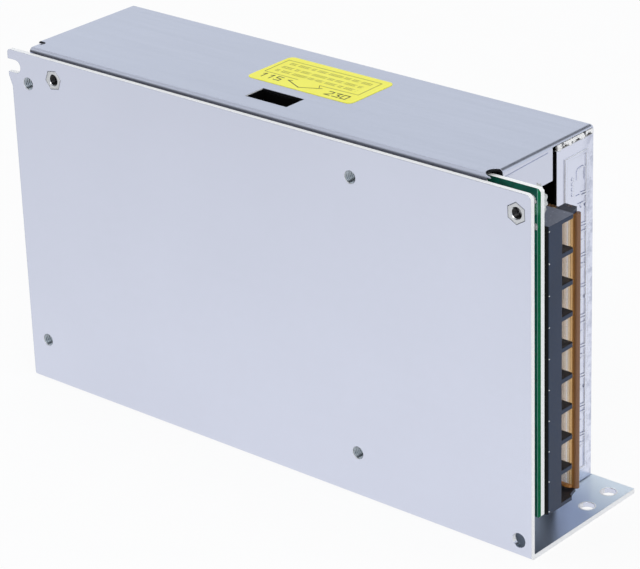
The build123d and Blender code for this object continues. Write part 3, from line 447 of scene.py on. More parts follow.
def cover_material():
    """Bright thin sheet: a smudged end panel made lighter by painted light, painted shade making
    the inside dark, and painted shade on the bend on the near side.
    """
    material, tree, shader, streaks, speck, normal, place = rolled_sheet("cover_sheet")
    colour = sheet_colour(tree, streaks, speck)
    roughness = spread(tree, streaks, 0.22, 0.27)
    end_face = above(tree, normal[0], SQUARE)
    # Painted light: the end panel's outer face is tinted lighter
    end_panel = all_of(tree, end_face, above(tree, place[1], END_PANEL_Y))
    colour = mix_colour(tree, end_panel, colour, END_PANEL_LIGHT_TINT)
    smudge = all_of(
        tree,
        end_face,
        fade_in(tree, place[1], *SMUDGE_Y),
        fade_in(tree, noise(tree, 260.0, detail=5.0, rough=0.7), 0.46, 0.6),
    )
    colour = mix_colour(tree, smudge, colour, SMUDGE_TINT)
    # Painted shade: the faces inside the case and the notch walls are painted near black
    inside = inner_faces(tree, normal, place)
    colour = mix_colour(tree, inside, colour, INSIDE_SHADE_TINT)
    roughness = maths(tree, "ADD", roughness, share_of(tree, inside, 0.35))
    # Painted shade on the near bend: mid grey over it, and darker where it turns to face the front
    bend = all_of(
        tree,
        below(tree, normal[1], -0.06),
        above(tree, normal[2], 0.02),
        above(tree, place[2], cover_high.z - BEND_DEPTH),
    )
    bend_shade = share_of(tree, bend, 0.8)
    colour = mix_colour(tree, bend_shade, colour, BEND_SHADE_TINT)
    low_bend_shade = maths(tree, "MULTIPLY", bend, spread(tree, normal[1], 1.0, 0.0, -0.97, -0.72))
    colour = mix_colour(tree, low_bend_shade, colour, LOW_BEND_SHADE_TINT)
    edges = cover_edges(tree, normal, place)
    colour, roughness, bare = sheared(tree, edges, colour, roughness)
    bare = any_of(tree, bare, bend_shade)
    height = maths(tree, "ADD", streaks, share_of(tree, speck, 0.5))
    finish_sheet(tree, shader, colour, roughness, bare, height, 0.008)
    return material


# Moulded, turned and printed pieces
def moulded(name, tint, rough=(0.4, 0.55), grain=1800.0, depth=0.25, coat=0.0, gloss=0.5):
    """Moulded plastic with a fine eroded grain and slight cloudiness."""
    material, tree, shader = new_material(name)
    fine = noise(tree, grain, detail=3.0)
    cloud = noise(tree, 60.0, detail=2.0)
    specks = spread(tree, fine, -0.06, 0.06)
    shade = maths(tree, "ADD", spread(tree, cloud, 0.88, 1.12), specks)
    tree.links.new(mix_colour(tree, 1.0, tint, shade, "MULTIPLY"), shader.inputs["Base Color"])
    tree.links.new(spread(tree, fine, *rough), shader.inputs["Roughness"])
    shader.inputs["Coat Weight"].default_value = coat
    shader.inputs["Specular IOR Level"].default_value = gloss
    bump(tree, shader, fine, depth, 0.00004, bevel(tree, 0.0002))
    return material


def turned_metal(name, tint, rough=(0.2, 0.4), metallic=1.0):
    """Plated or turned metal with a fine grain and small stains."""
    material, tree, shader = new_material(name)
    shader.inputs["Metallic"].default_value = metallic
    fine = noise(tree, 1200.0, detail=4.0)
    stain = noise(tree, 160.0, detail=2.0)
    specks = spread(tree, fine, -0.05, 0.05)
    shade = maths(tree, "ADD", spread(tree, stain, 0.86, 1.04), specks)
    tree.links.new(mix_colour(tree, 1.0, tint, shade, "MULTIPLY"), shader.inputs["Base Color"])
    tree.links.new(spread(tree, fine, *rough), shader.inputs["Roughness"])
    bump(tree, shader, fine, 0.15, 0.00003, bevel(tree, 0.00015))
    return material


metal_chassis = chassis_material()
metal_cover = cover_material()
zinc = turned_metal("zinc_plate", (0.62, 0.63, 0.65))
nickel = turned_metal("nickel_plate", (0.65, 0.665, 0.69), (0.15, 0.3))
# Painted shade: a near-black metal for the standoffs' threaded bores
painted_shade_bore = turned_metal("painted_shade_bore", (0.05, 0.05, 0.052), (0.12, 0.22))
tin = turned_metal("tinned_contact", (0.74, 0.72, 0.66))
solder = turned_metal("solder", (0.72, 0.73, 0.75), (0.12, 0.28))
alu_bar = turned_metal("sawn_aluminium", (0.70, 0.71, 0.73), (0.35, 0.5))
copper = turned_metal("enamelled_copper", (0.62, 0.27, 0.10), (0.2, 0.35))
black_plastic = moulded("black_plastic", (0.010, 0.010, 0.012))
window_black = moulded("window_black", (0.002, 0.002, 0.0025), (0.5, 0.65), gloss=0.12)
blue_plastic = moulded("blue_plastic", (0.03, 0.09, 0.32))
white_plastic = moulded("white_plastic", (0.80, 0.80, 0.76))
yellow_plastic = moulded("yellow_plastic", (0.80, 0.55, 0.05), coat=0.3)
nylon = moulded("nylon", (0.82, 0.82, 0.78))
ferrite = moulded("ferrite", (0.035, 0.035, 0.04), (0.5, 0.7), depth=0.5)
tape = moulded("winding_tape", (0.72, 0.50, 0.06), (0.25, 0.4), coat=0.4)
sleeve = moulded(
    "shrink_sleeve", (0.015, 0.02, 0.09), (0.18, 0.3), grain=500.0, depth=0.1, coat=0.4
)
coated_disc = moulded("coated_disc", (0.03, 0.12, 0.06), (0.3, 0.45))
silicone = moulded("silicone_pad", (0.42, 0.46, 0.48), (0.6, 0.8))
film = moulded("pressed_board", (0.72, 0.69, 0.58), (0.55, 0.75), grain=700.0, depth=0.35)
ink = moulded("label_ink", (0.020, 0.018, 0.006), (0.4, 0.5), depth=0.02)
ink_light = moulded("label_ink_light", (0.09, 0.085, 0.015), (0.4, 0.5), depth=0.02)


BLOCK_TINT = (0.015, 0.030, 0.068)
# Painted shade and painted light for the block: shaded walls and foot, a lit end face with
# highlight specks
BLOCK_WALL_SHADE_TINT = (0.014, 0.015, 0.022)
BLOCK_END_LIGHT_TINT = (0.125, 0.135, 0.172)
BLOCK_GLINT_TINT = (0.42, 0.44, 0.48)
BLOCK_FOOT_SHADE_TINT = (0.002, 0.0022, 0.0025)


def block_material():
    """Dark blue-grey moulding, with painted shade on the faces square to Z and on the recessed
    foot, and painted light with painted highlight specks on the end face below the step.
    """
    material, tree, shader = new_material("block_plastic")
    normal, place = faces_of(tree)
    fine = noise(tree, 1600.0)
    cloud = spread(tree, noise(tree, 60.0), 0.9, 1.1)
    shade = maths(tree, "ADD", cloud, spread(tree, fine, -0.05, 0.05))
    colour = mix_colour(tree, 1.0, BLOCK_TINT, shade, "MULTIPLY")
    # Painted shade: faces square to Z, the bay walls and the end face, are darker
    colour = mix_colour(tree, facing(tree, normal[2]), colour, BLOCK_WALL_SHADE_TINT)
    end = all_of(tree, above(tree, normal[2], SQUARE), above(tree, place[2], BLOCK_END_Z))
    # Painted light: the end face below the step is lighter
    lower = all_of(tree, end, below(tree, place[1], BLOCK_STEP_Y))
    colour = mix_colour(tree, lower, colour, BLOCK_END_LIGHT_TINT)
    # Painted highlight: pale specks on that lighter end face
    glint_specks = fade_in(tree, noise(tree, 1500.0, detail=4.0), 0.63, 0.72)
    colour = mix_colour(tree, all_of(tree, lower, glint_specks), colour, BLOCK_GLINT_TINT)
    # Painted shade: the recessed foot below the band is near black
    foot = below(tree, place[1], BLOCK_FOOT_Y)
    colour = mix_colour(tree, foot, colour, BLOCK_FOOT_SHADE_TINT)
    tree.links.new(colour, shader.inputs["Base Color"])
    roughness = maths(tree, "ADD", spread(tree, fine, 0.34, 0.48), share_of(tree, foot, 0.35))
    tree.links.new(roughness, shader.inputs["Roughness"])
    shader.inputs["Specular IOR Level"].default_value = 0.3
    bump(tree, shader, fine, 0.25, 0.00004, bevel(tree, 0.0002))
    return material


def sealant_material():
    """Clear flexible sealant that has set in wrinkles."""
    material, tree, shader = new_material("sealant")
    wrinkle = noise(tree, 900.0, detail=5.0, rough=0.7)
    colour = mix_colour(tree, spread(tree, wrinkle, 0, 1), (0.62, 0.64, 0.64), (0.97, 0.98, 0.98))
    tree.links.new(colour, shader.inputs["Base Color"])
    tree.links.new(spread(tree, wrinkle, 0.12, 0.35), shader.inputs["Roughness"])
    shader.inputs["Transmission Weight"].default_value = 0.35
    bump(tree, shader, wrinkle, 0.8, 0.0001)
    return material


MASK_DARK, MASK_LIGHT = (0.006, 0.120, 0.085), (0.010, 0.160, 0.105)
TRACK_TINT = (0.02, 0.055, 0.045)
END_BAND_TINT = (0.004, 0.225, 0.085)
END_HIGHLIGHT_TINT = (0.22, 0.52, 0.42)


def board_material():
    """Green solder mask with faint tracks, a brighter green band along the end with a painted
    highlight line just inside it, and a pale sawn edge.
    """
    material, tree, shader = new_material("solder_mask_board")
    normal, place = faces_of(tree)
    flat = above(tree, absolute(tree, normal[1]), 0.5)
    track = add(tree, "ShaderNodeTexVoronoi", feature="DISTANCE_TO_EDGE", distance="EUCLIDEAN")
    track.inputs["Scale"].default_value = 130.0
    tree.links.new(object_point(tree, (1, 0.0, 1)), track.inputs["Vector"])
    line = spread(tree, track.outputs["Distance"], 1.0, 0.0, 0.04, 0.07)
    cloud = noise(tree, 90.0)
    green = mix_colour(tree, spread(tree, cloud, 0, 1), MASK_DARK, MASK_LIGHT)
    green = mix_colour(tree, share_of(tree, line, 0.35), green, TRACK_TINT)
    green = mix_colour(tree, above(tree, place[0], END_BAND_X), green, END_BAND_TINT)
    # Painted highlight: a pale green line just inside the brighter end band
    green = mix_colour(tree, within(tree, place[0], *END_HIGHLIGHT_X), green, END_HIGHLIGHT_TINT)
    layers = noise(tree, 1.0, (200, 9000, 200))
    fibre = mix_colour(tree, spread(tree, layers, 0, 1), (0.97, 0.98, 0.97), (1.0, 1.0, 1.0))
    tree.links.new(mix_colour(tree, flat, fibre, green), shader.inputs["Base Color"])
    tree.links.new(spread(tree, flat, 0.75, 0.22, 0.0, 1.0), shader.inputs["Roughness"])
    bump(tree, shader, maths(tree, "ADD", line, layers), 0.2, 0.00003)
    return material


def label_material():
    """Yellow printed film with a slightly uneven gloss."""
    material, tree, shader = new_material("label_film")
    fine = noise(tree, 1500.0)
    cloud = noise(tree, 70.0)
    colour = mix_colour(tree, spread(tree, cloud, 0, 1), (0.97, 0.92, 0.060), (0.99, 0.96, 0.085))
    tree.links.new(colour, shader.inputs["Base Color"])
    tree.links.new(spread(tree, fine, 0.28, 0.4), shader.inputs["Roughness"])
    bump(tree, shader, fine, 0.08, 0.00002)
    return material


# The lid's colours from its hinge side to its bead; the near-white band is a painted highlight
# along its crease
AMBER_BANDS = [
    (0.0, (1.0, 0.80, 0.60)),
    (0.65, (1.0, 0.82, 0.62)),
    # Painted highlight along the crease
    (0.68, (1.0, 1.0, 0.97)),
    (0.70, (1.0, 1.0, 0.97)),
    (0.72, (1.0, 0.66, 0.30)),
    (0.83, (1.0, 0.60, 0.24)),
    (0.85, (0.36, 0.15, 0.035)),
    (0.90, (0.36, 0.16, 0.045)),
    (0.92, (0.32, 0.16, 0.08)),
    (1.0, (0.28, 0.14, 0.075)),
]
# Painted shade: near black for the lid's pin ends, seen in the block's ear holes
LID_PIN_SHADE_TINT = (0.006, 0.005, 0.005)
LID_END_TINT = (0.16, 0.07, 0.025)


def colour_ramp(tree, value, bands):
    """Colours along a value, from (position, colour) pairs."""
    ramp = add(tree, "ShaderNodeValToRGB")
    stops = ramp.color_ramp.elements
    while len(stops) < len(bands):
        stops.new(1.0)
    for stop, (position, colour) in zip(stops, bands):
        stop.position = position
        stop.color = (*colour, 1)
    tree.links.new(value, ramp.inputs[0])
    return ramp.outputs[0]


def amber_material():
    """Translucent amber plastic, paler where the plate is thin and brown at the rolled bead, with
    a painted highlight along its crease and painted shade on its pin ends.
    """
    material, tree, shader = new_material("amber_lid")
    flow = noise(tree, 1.0, (600, 600, 14), detail=3.0)
    cloud = noise(tree, 120.0)
    normal, place = faces_of(tree)
    amber = colour_ramp(tree, fade_in(tree, place[0], *LID_X), AMBER_BANDS)
    shade = maths(tree, "ADD", spread(tree, flow, 0.9, 1.06), spread(tree, cloud, -0.04, 0.04))
    colour = mix_colour(tree, 1.0, amber, shade, "MULTIPLY")
    # Painted shade: the pin ends beyond the outer bays are painted near black
    from_centre = maths(tree, "SUBTRACT", place[2], BAY_CENTRE * MM)
    shaded_pins = above(tree, absolute(tree, from_centre), LID_PIN_REACH)
    colour = mix_colour(tree, shaded_pins, colour, LID_PIN_SHADE_TINT)
    ends = share_of(tree, facing(tree, normal[2]), 0.9)
    colour = mix_colour(tree, ends, colour, LID_END_TINT)
    tree.links.new(colour, shader.inputs["Base Color"])
    tree.links.new(spread(tree, cloud, 0.10, 0.2), shader.inputs["Roughness"])
    clear = spread(tree, place[0], 0.85, 0.2, *LID_CLEAR_X)
    tree.links.new(clear, shader.inputs["Transmission Weight"])
    shader.inputs["IOR"].default_value = 1.38
    bump(tree, shader, flow, 0.1, 0.00003, bevel(tree, 0.0003))
    return material


def glass_material():
    """Clear glass with the slightest haze."""
    material, tree, shader = new_material("fuse_glass")
    shader.inputs["Base Color"].default_value = (0.93, 0.96, 0.95, 1)
    shader.inputs["Transmission Weight"].default_value = 1.0
    shader.inputs["IOR"].default_value = 1.5
    tree.links.new(spread(tree, noise(tree, 800.0), 0.02, 0.08), shader.inputs["Roughness"])
    return material


def lens_material():
    """Cloudy green lens."""
    material, tree, shader = new_material("light_lens")
    cloud = noise(tree, 300.0)
    colour = mix_colour(tree, spread(tree, cloud, 0, 1), (0.10, 0.55, 0.20), (0.16, 0.70, 0.30))
    tree.links.new(colour, shader.inputs["Base Color"])
    shader.inputs["Transmission Weight"].default_value = 0.5
    tree.links.new(spread(tree, cloud, 0.08, 0.16), shader.inputs["Roughness"])
    return material


NODE_MATERIALS = {
    "chassis": metal_chassis,
    "cover": metal_cover,
    "board_screws": zinc,
    "cover_screws": zinc,
    "terminal_screws": zinc,
    "clamp_screws": zinc,
    "clamp_plates": zinc,
    "fuse_clips": zinc,
    "primary_clamp_bar": zinc,
    "output_clamp_bar": zinc,
    "hex_standoffs": nickel,
    "fuse_caps": nickel,
    "terminal_contacts": tin,
    "circuit_board": board_material(),
    "insulation_sheet": film,
    "board_spacers": nylon,
    "terminal_block": block_material(),
    "terminal_lid": amber_material(),
    "selector_body": window_black,
    "selector_slider": black_plastic,
    "selector_label": label_material(),
    "trimmer_body": blue_plastic,
    "trimmer_rotor": white_plastic,
    "status_light": lens_material(),
    "fuse_tube": glass_material(),
    "line_capacitor": yellow_plastic,
    "thermistor": coated_disc,
    "line_filter_core": ferrite,
    "transformer_core": ferrite,
    "driver_core": ferrite,
    "output_choke_core": ferrite,
    "line_filter_coil_upper": copper,
    "line_filter_coil_lower": copper,
    "output_choke_winding": copper,
    "driver_coil": tape,
    "transformer_winding": tape,
    "transformer_bobbin": white_plastic,
    "bridge_rectifier": black_plastic,
    "controller_chip": black_plastic,
    "bulk_capacitor_1": sleeve,
    "bulk_capacitor_2": sleeve,
    "output_capacitor_1": sleeve,
    "output_capacitor_2": sleeve,
    "output_capacitor_3": sleeve,
    "primary_transistor_1": black_plastic,
    "primary_transistor_2": black_plastic,
    "output_diode_1": black_plastic,
    "output_diode_2": black_plastic,
    "primary_heat_spreader": alu_bar,
    "output_heat_spreader": alu_bar,
    "primary_insulating_pads": silicone,
    "output_insulating_pads": silicone,
}
for node_name, node_material in NODE_MATERIALS.items():
    node_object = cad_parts[node_name]
    if not node_object.material_slots:
        node_object.data.materials.append(node_material)
    for node_slot in node_object.material_slots:
        node_slot.material = node_material


# Mesh helpers
def mesh_object(name, bm, material, body="case", smooth=False):
    """Makes an object of a bmesh given in millimetres, and puts it on a body."""
    bmesh.ops.scale(bm, vec=(MM, MM, MM), verts=bm.verts)
    bmesh.ops.recalc_face_normals(bm, faces=bm.faces)
    mesh = bpy.data.meshes.new(name)
    bm.to_mesh(mesh)
    bm.free()
    piece = bpy.data.objects.new(name, mesh)
    bpy.context.scene.collection.objects.link(piece)
    mesh.materials.append(material)
    if smooth:
        for face in mesh.polygons:
            face.use_smooth = True
    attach(piece, body)
    return piece


def ring_of(bm, centre, radius, count, axis_u, axis_v, turn=0.0):
    """A ring of new vertices round a centre, in the plane of two axes."""
    return [
        bm.verts.new(
            centre
            + axis_u * (radius * cos(turn + 2 * pi * i / count))
            + axis_v * (radius * sin(turn + 2 * pi * i / count))
        )
        for i in range(count)
    ]


def bridge(bm, ring_a, ring_b):
    """Faces between two rings of the same count."""
    count = len(ring_a)
    for i in range(count):
        j = (i + 1) % count
        bm.faces.new((ring_a[i], ring_a[j], ring_b[j], ring_b[i]))


def lathe(bm, origin, axis, side, profile, count=40):
    """Turns a profile of (radius, height) round an axis; closed where a radius is 0."""
    across = axis.cross(side)
    last = None
    for radius, height in profile:
        centre = origin + axis * height
        if radius == 0:
            now = [bm.verts.new(centre)]
        else:
            now = ring_of(bm, centre, radius, count, side, across)
        if last is not None:
            if len(last) == 1 or len(now) == 1:
                tip, ring = (last[0], now) if len(last) == 1 else (now[0], last)
                for i in range(count):
                    bm.faces.new((tip, ring[i], ring[(i + 1) % count]))
            else:
                bridge(bm, last, now)
        last = now


X, Y, Z = Vector((1, 0, 0)), Vector((0, 1, 0)), Vector((0, 0, 1))
front_y = chassis_low.y / MM


# Standoffs and tapped holes
def threads(bm, centre, axis, side, radius, depth, pitch=0.7, tooth=0.32, count=36):
    """Wall of a threaded hole that starts at centre and runs along the axis."""
    profile = []
    step = 0.0
    while step < depth:
        profile += [
            (radius, step),
            (radius, step + pitch * 0.15),
            (radius - tooth, step + pitch * 0.5),
            (radius, step + pitch * 0.85),
        ]
        step += pitch
    lathe(bm, centre, axis, side, profile, count)


def hex_ring(bm, centre, across, turn):
    """A hexagon of a given width across its flats, square to Y."""
    return ring_of(bm, centre, across / 2 / cos(pi / 6), 6, X, Z, turn)


HEX_CHAMFER = (0.22, 0.14)  # how much it narrows, and how deep
MOUTH_RADIUS = 1.88
BORE_RADIUS = 1.66
BORE_START = 0.26
RING_COUNT = 36
STANDOFF_GAP = 0.02  # in its seat, and from the plate's face back to its own


def standoff(bm, wall, x, z, turn):
    """Hexagon pressed flush into the plate, with a narrow chamfer and a threaded bore."""
    face = front_y + STANDOFF_GAP
    back = standoff_high.y / MM
    across = STANDOFF_ACROSS - STANDOFF_GAP
    start = Vector((x, face + BORE_START, z))
    sides = hex_ring(bm, Vector((x, face + HEX_CHAMFER[1], z)), across, turn)
    crown = hex_ring(bm, Vector((x, face, z)), across - HEX_CHAMFER[0], turn)
    mouth = ring_of(bm, Vector((x, face, z)), MOUTH_RADIUS, RING_COUNT, X, Z)
    throat = ring_of(bm, start, BORE_RADIUS, RING_COUNT, X, Z)
    foot = hex_ring(bm, Vector((x, back, z)), across, turn)
    exit_ring = ring_of(bm, Vector((x, back, z)), BORE_RADIUS, RING_COUNT, X, Z)
    bridge(bm, sides, crown)
    bridge(bm, mouth, throat)
    bridge(bm, sides, foot)
    for outer, inner in ((crown, mouth), (foot, exit_ring)):
        edges = []
        for loop in (outer, inner):
            for i in range(len(loop)):
                pair = (loop[i], loop[(i + 1) % len(loop)])
                edges.append(bm.edges.get(pair) or bm.edges.new(pair))
        bmesh.ops.triangle_fill(bm, use_beauty=True, edges=edges)
    threads(wall, start, Y, X, BORE_RADIUS, depth=3.8, pitch=0.5, tooth=0.2)


bm = bmesh.new()
bore_bm = bmesh.new()
for (x, z), turn in zip(STANDOFF_POINTS, STANDOFF_TURNS):
    standoff(bm, bore_bm, x, z, radians(turn))
piece = mesh_object("hex_standoff_nuts", bm, nickel)
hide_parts("hex_standoffs")
# Painted shade: the standoffs' bore threads in near-black metal
mesh_object("hex_standoff_threads", bore_bm, painted_shade_bore)

# Threads of the four tapped holes, clear of the mouth, the wall and the far end
THREAD_START = 0.25
THREAD_GAP = 0.01
THREAD_END = 0.9
bm = bmesh.new()
for x, z in TAP_POINTS:
    start = Vector((x, front_y + THREAD_START, z))
    threads(bm, start, Y, X, TAP_RADIUS - THREAD_GAP, TAP_DEPTH - THREAD_END)
# Painted shade: the threads are a darker copy of the plate's metal
painted_shade_threads = turned_metal("painted_shade_threads", (0.42, 0.47, 0.52), (0.10, 0.2))
mesh_object("tapped_threads", bm, painted_shade_threads)


# Label and its print
label_x = (label_low.x + label_high.x) / 2 / MM
label_y = (label_low.y + label_high.y) / 2 / MM
label_base = label_low.z / MM
label_half = ((label_high.x - label_low.x) / 2 / MM, (label_high.y - label_low.y) / 2 / MM)
FILM = 0.13
FILM_LIFT = 0.004
FILM_EDGE = 0.05
INK_RISE = 0.012
label_top = label_base + FILM


def label_ring(bm, inset, height):
    """The label's rounded outline, drawn in by an inset and lifted above the sheet."""
    corner = LABEL_CORNER - inset
    ring = []
    for quarter, (side_x, side_y) in enumerate(((1, 1), (-1, 1), (-1, -1), (1, -1))):
        middle_x = label_x + side_x * (label_half[0] - LABEL_CORNER)
        middle_y = label_y + side_y * (label_half[1] - LABEL_CORNER)
        for step in range(9):
            angle = pi / 2 * (quarter + step / 8)
            x = middle_x + corner * cos(angle)
            y = middle_y + corner * sin(angle)
            ring.append(bm.verts.new((x, y, label_base + height)))
    return ring


bm = bmesh.new()
film_rings = [
    label_ring(bm, 0.0, FILM_LIFT),
    label_ring(bm, 0.0, FILM - FILM_EDGE),
    label_ring(bm, FILM_EDGE, FILM),
]
bridge(bm, film_rings[0], film_rings[1])
bridge(bm, film_rings[1], film_rings[2])
bm.faces.new(film_rings[0])
bm.faces.new(film_rings[2])
piece = mesh_object("label_film", bm, label_material())
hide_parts("selector_label")


def ink_strip(bm, points, width):
    """A flat printed line through points on the label, given from its centre."""
    for a, b in zip(points, points[1:]):
        a, b = Vector((*a, 0)), Vector((*b, 0))
        along = (b - a).normalized() * (width / 2)
        across = Vector((-along.y, along.x, 0))
        corners = (a - along - across, b + along - across, b + along + across, a - along + across)
        base = Vector((label_x, label_y, label_top + INK_RISE))
        bm.faces.new([bm.verts.new(base + c) for c in corners])


FRAME_POINTS = [
    (-5.4, -3.8), (-18.2, -3.8), (-18.4, 7.4), (17.0, 7.8),
    (17.3, -3.4), (3.2, -3.9), (4.2, -5.4),
]
# Widths of the printed lines
FRAME_WIDTH = 0.22
SIGN_WIDTH = 0.34
RULE_WIDTH = 0.13
STROKE_WIDTH = 0.17
FIGURE_WIDTH = 0.40
bm = bmesh.new()
ink_strip(bm, FRAME_POINTS, FRAME_WIDTH)
mesh_object("label_frame", bm, ink_light)
bm = bmesh.new()
ink_strip(bm, [(-7.4, -5.7), (-1.1, -8.6), (3.7, -6.3), (5.3, -5.5)], SIGN_WIDTH)
ink_strip(bm, [(-7.4, -5.7), (-6.0, -5.4)], SIGN_WIDTH)
mesh_object("label_switch_sign", bm, ink)

# Three rows of short plain rules: each row's start, end and height, and the rules' lengths
RULE_ROWS = [(-16.0, 15.1, 5.3), (-16.2, 15.0, 2.0), (-16.2, 14.8, -1.1)]
RULE_LENGTHS = (2.6, 4.1, 1.5, 3.4, 5.0, 2.1)
RULE_HALF = 0.58
RULE_GAP = 0.9
STROKE_STEP = 0.78
STROKE_MARGINS = (0.2, 0.1)
bm = bmesh.new()
for row, (start, end, rule_y) in enumerate(RULE_ROWS):
    x = start
    number = row
    while x < end:
        length = RULE_LENGTHS[number % len(RULE_LENGTHS)]
        stop = min(x + length, end)
        for side in (-RULE_HALF, RULE_HALF):
            ink_strip(bm, [(x, rule_y + side), (stop, rule_y + side)], RULE_WIDTH)
        stroke = x + STROKE_MARGINS[0]
        while stroke < stop - STROKE_MARGINS[1]:
            points = [(stroke, rule_y - RULE_HALF), (stroke, rule_y + RULE_HALF)]
            ink_strip(bm, points, STROKE_WIDTH)
            stroke += STROKE_STEP
        x = stop + RULE_GAP
        number += 1
mesh_object("label_rules", bm, ink_light)

# Plain numerals for the two supply ranges, drawn as strokes
STROKES = {
    "0": [[(0, 0), (1, 0), (1, 2), (0, 2), (0, 0)]],
    "1": [[(0.15, 1.6), (0.6, 2), (0.6, 0)]],
    "2": [[(0, 2), (1, 2), (1, 1.1), (0, 0), (1, 0)]],
    "3": [[(0, 2), (1, 2), (0.45, 1.15), (1, 0.9), (1, 0), (0, 0)]],
    "5": [[(1, 2), (0, 2), (0, 1.15), (1, 1.0), (1, 0), (0, 0)]],
}
FIGURE_STEP = 2.9
FIGURE_SCALE = (1.9, 1.35)
bm = bmesh.new()
for text, start, low in (("115", -17.3, -7.7), ("230", 8.6, -8.4)):
    for i, figure in enumerate(text):
        left = start + i * FIGURE_STEP
        for line in STROKES[figure]:
            points = [(left + px * FIGURE_SCALE[0], low + py * FIGURE_SCALE[1]) for px, py in line]
            ink_strip(bm, points, FIGURE_WIDTH)
mesh_object("label_numerals", bm, ink)


# Rolled rims round the two holes of the side wall
RIM_PROFILE = [(2.27, -0.02), (2.30, 0.07), (2.42, 0.10), (2.56, 0.07), (2.66, -0.02)]
bm = bmesh.new()
for y in EAR_HOLE_YS:
    lathe(bm, Vector((EAR_HOLE_X, y, CHASSIS_SHEET)), Z, X, RIM_PROFILE, count=48)
# Real rolled rims with a painted highlight: near white and only partly a mirror, brighter than the
# wall's metal
painted_highlight_rims = turned_metal("painted_highlight_rims", (0.95, 0.96, 0.98), (0.3, 0.4), 0.3)
mesh_object("wall_hole_rims", bm, painted_highlight_rims)

# Rib across the lid's lower end: its depth along X
RIB_DEPTHS = ((88.0, 0.5), (89.0, 0.95), (92.5, 1.15), (94.6, 1.5), (95.6, 1.1), (95.9, 0.5))
RIB_LOW, RIB_HIGH = 11.95, 12.75
RIB_BASE = -0.88
RIB_ROUND = 0.2
bm = bmesh.new()
rib_rings = []
for x, deep in RIB_DEPTHS:
    neck, tip = RIB_BASE - deep * 0.7, RIB_BASE - deep
    section = (
        (RIB_BASE, RIB_LOW),
        (neck, RIB_LOW),
        (tip, RIB_LOW + RIB_ROUND),
        (tip, RIB_HIGH - RIB_ROUND),
        (neck, RIB_HIGH),
        (RIB_BASE, RIB_HIGH),
    )
    rib_rings.append([bm.verts.new((x, y, z)) for y, z in section])
for a, b in zip(rib_rings, rib_rings[1:]):
    bridge(bm, a, b)
bm.faces.new(rib_rings[0])
bm.faces.new(rib_rings[-1])
rib_plastic = moulded("amber_rib", (0.50, 0.22, 0.06), (0.15, 0.3), depth=0.05, coat=0.4)
mesh_object("lid_end_rib", bm, rib_plastic, body="lid")

# Small pips along the lower edge of the block's band, one to a wall; moulded pips given shiny
# solder metal so that they show as bright dots, a painted highlight
PIP_PROFILE = [(0.24, -0.1), (0.22, 0.05), (0.15, 0.13), (0, 0.16)]
PIP_Y = -15.35
PIP_SINK = 0.06
PIP_DROP = 0.3
bm = bmesh.new()
for z in WALL_Z:
    foot = Vector((block_high.x / MM - PIP_SINK, PIP_Y, z - PIP_DROP))
    lathe(bm, foot, X, Y, PIP_PROFILE, count=14)
mesh_object("block_pips", bm, solder, smooth=True)

# Solder joints of the terminal pins and of a few parts near the board's edge
bm = bmesh.new()
solder_y = board_low.y / MM
PART_PINS = [(92.0, 98.4), (86.5, 101.6), (80.2, 97.0), (76.0, 103.5)]
joints = [(PIN_X, z, 1.5, 1.6) for z in BAY_Z]
joints += [(x, z, 1.1, 0.9) for x, z in PART_PINS]
for x, z, radius, rise in joints:
    profile = [
        (radius, 0.0),
        (radius * 0.8, 0.25 * rise),
        (radius * 0.45, 0.7 * rise),
        (0.32, rise),
        (0, rise * 1.05),
    ]
    lathe(bm, Vector((x, solder_y, z)), -Y, X, profile, count=18)
mesh_object("solder_joints", bm, solder, smooth=True)

# Clear sealant over the board's edge beside the terminals, and its smear on the solder side
clear_sealant = sealant_material()
SEALANT_GAP = 0.05


def sealant_drop(name, middle, reach, outward):
    """A wrinkled drop on the board: middle and reach in millimetres, flat where it sticks."""
    bm = bmesh.new()
    bmesh.ops.create_icosphere(bm, subdivisions=4, radius=1.0)
    for vert in bm.verts:
        at = vert.co.copy()
        # Waves of three widths, the widest the strongest
        lump = 1 + 0.13 * sin(9 * at.x + 3 * at.z) + 0.12 * sin(14 * at.z + 4 * at.y)
        lump += 0.08 * sin(23 * at.x * at.z + 6 * at.y)
        depth = max(at.y, 0) * outward
        vert.co = Vector((at.x * reach[0], depth * reach[1], at.z * reach[2])) * lump
        vert.co.x = min(vert.co.x, board_high.x / MM - SEALANT_GAP - middle[0])
        vert.co += Vector(middle)
    bmesh.ops.remove_doubles(bm, verts=bm.verts, dist=0.01)
    mesh_object(name, bm, clear_sealant, smooth=True)


sealant_drop("sealant_drop", (96.6, board_high.y / MM, 105.6), (2.2, 2.2, 4.4), 1)
sealant_drop("sealant_smear", (96.4, board_low.y / MM, 105.2), (0.8, 0.3, 2.4), -1)
sealant_drop("sealant_spot", (97.0, board_low.y / MM, 99.2), (0.5, 0.3, 0.9), -1)

# Raised lines along the end panel: plain marks, a set to each terminal
end_x = cover_high.x / MM
LINE_RISE = 0.025


def score_line(bm, points, width=0.30, rise=LINE_RISE):
    """A low rounded ridge on the end panel through (y, z) points."""
    for (ya, za), (yb, zb) in zip(points, points[1:]):
        a, b = Vector((end_x, ya, za)), Vector((end_x, yb, zb))
        along = (b - a).normalized()
        across = along.cross(X)
        half = width / 2
        rings = []
        shape = (
            (-half, -0.02),
            (-half * 0.5, rise * 0.8),
            (0, rise),
            (half * 0.5, rise * 0.8),
            (half, -0.02),
        )
        for end, push in ((a, -along * half), (b, along * half)):
            rings.append([bm.verts.new(end + push + across * u + X * v) for u, v in shape])
        for i in range(len(rings[0]) - 1):
            bm.faces.new((rings[0][i], rings[0][i + 1], rings[1][i + 1], rings[1][i]))
        for ring in rings:
            bm.faces.new(ring)


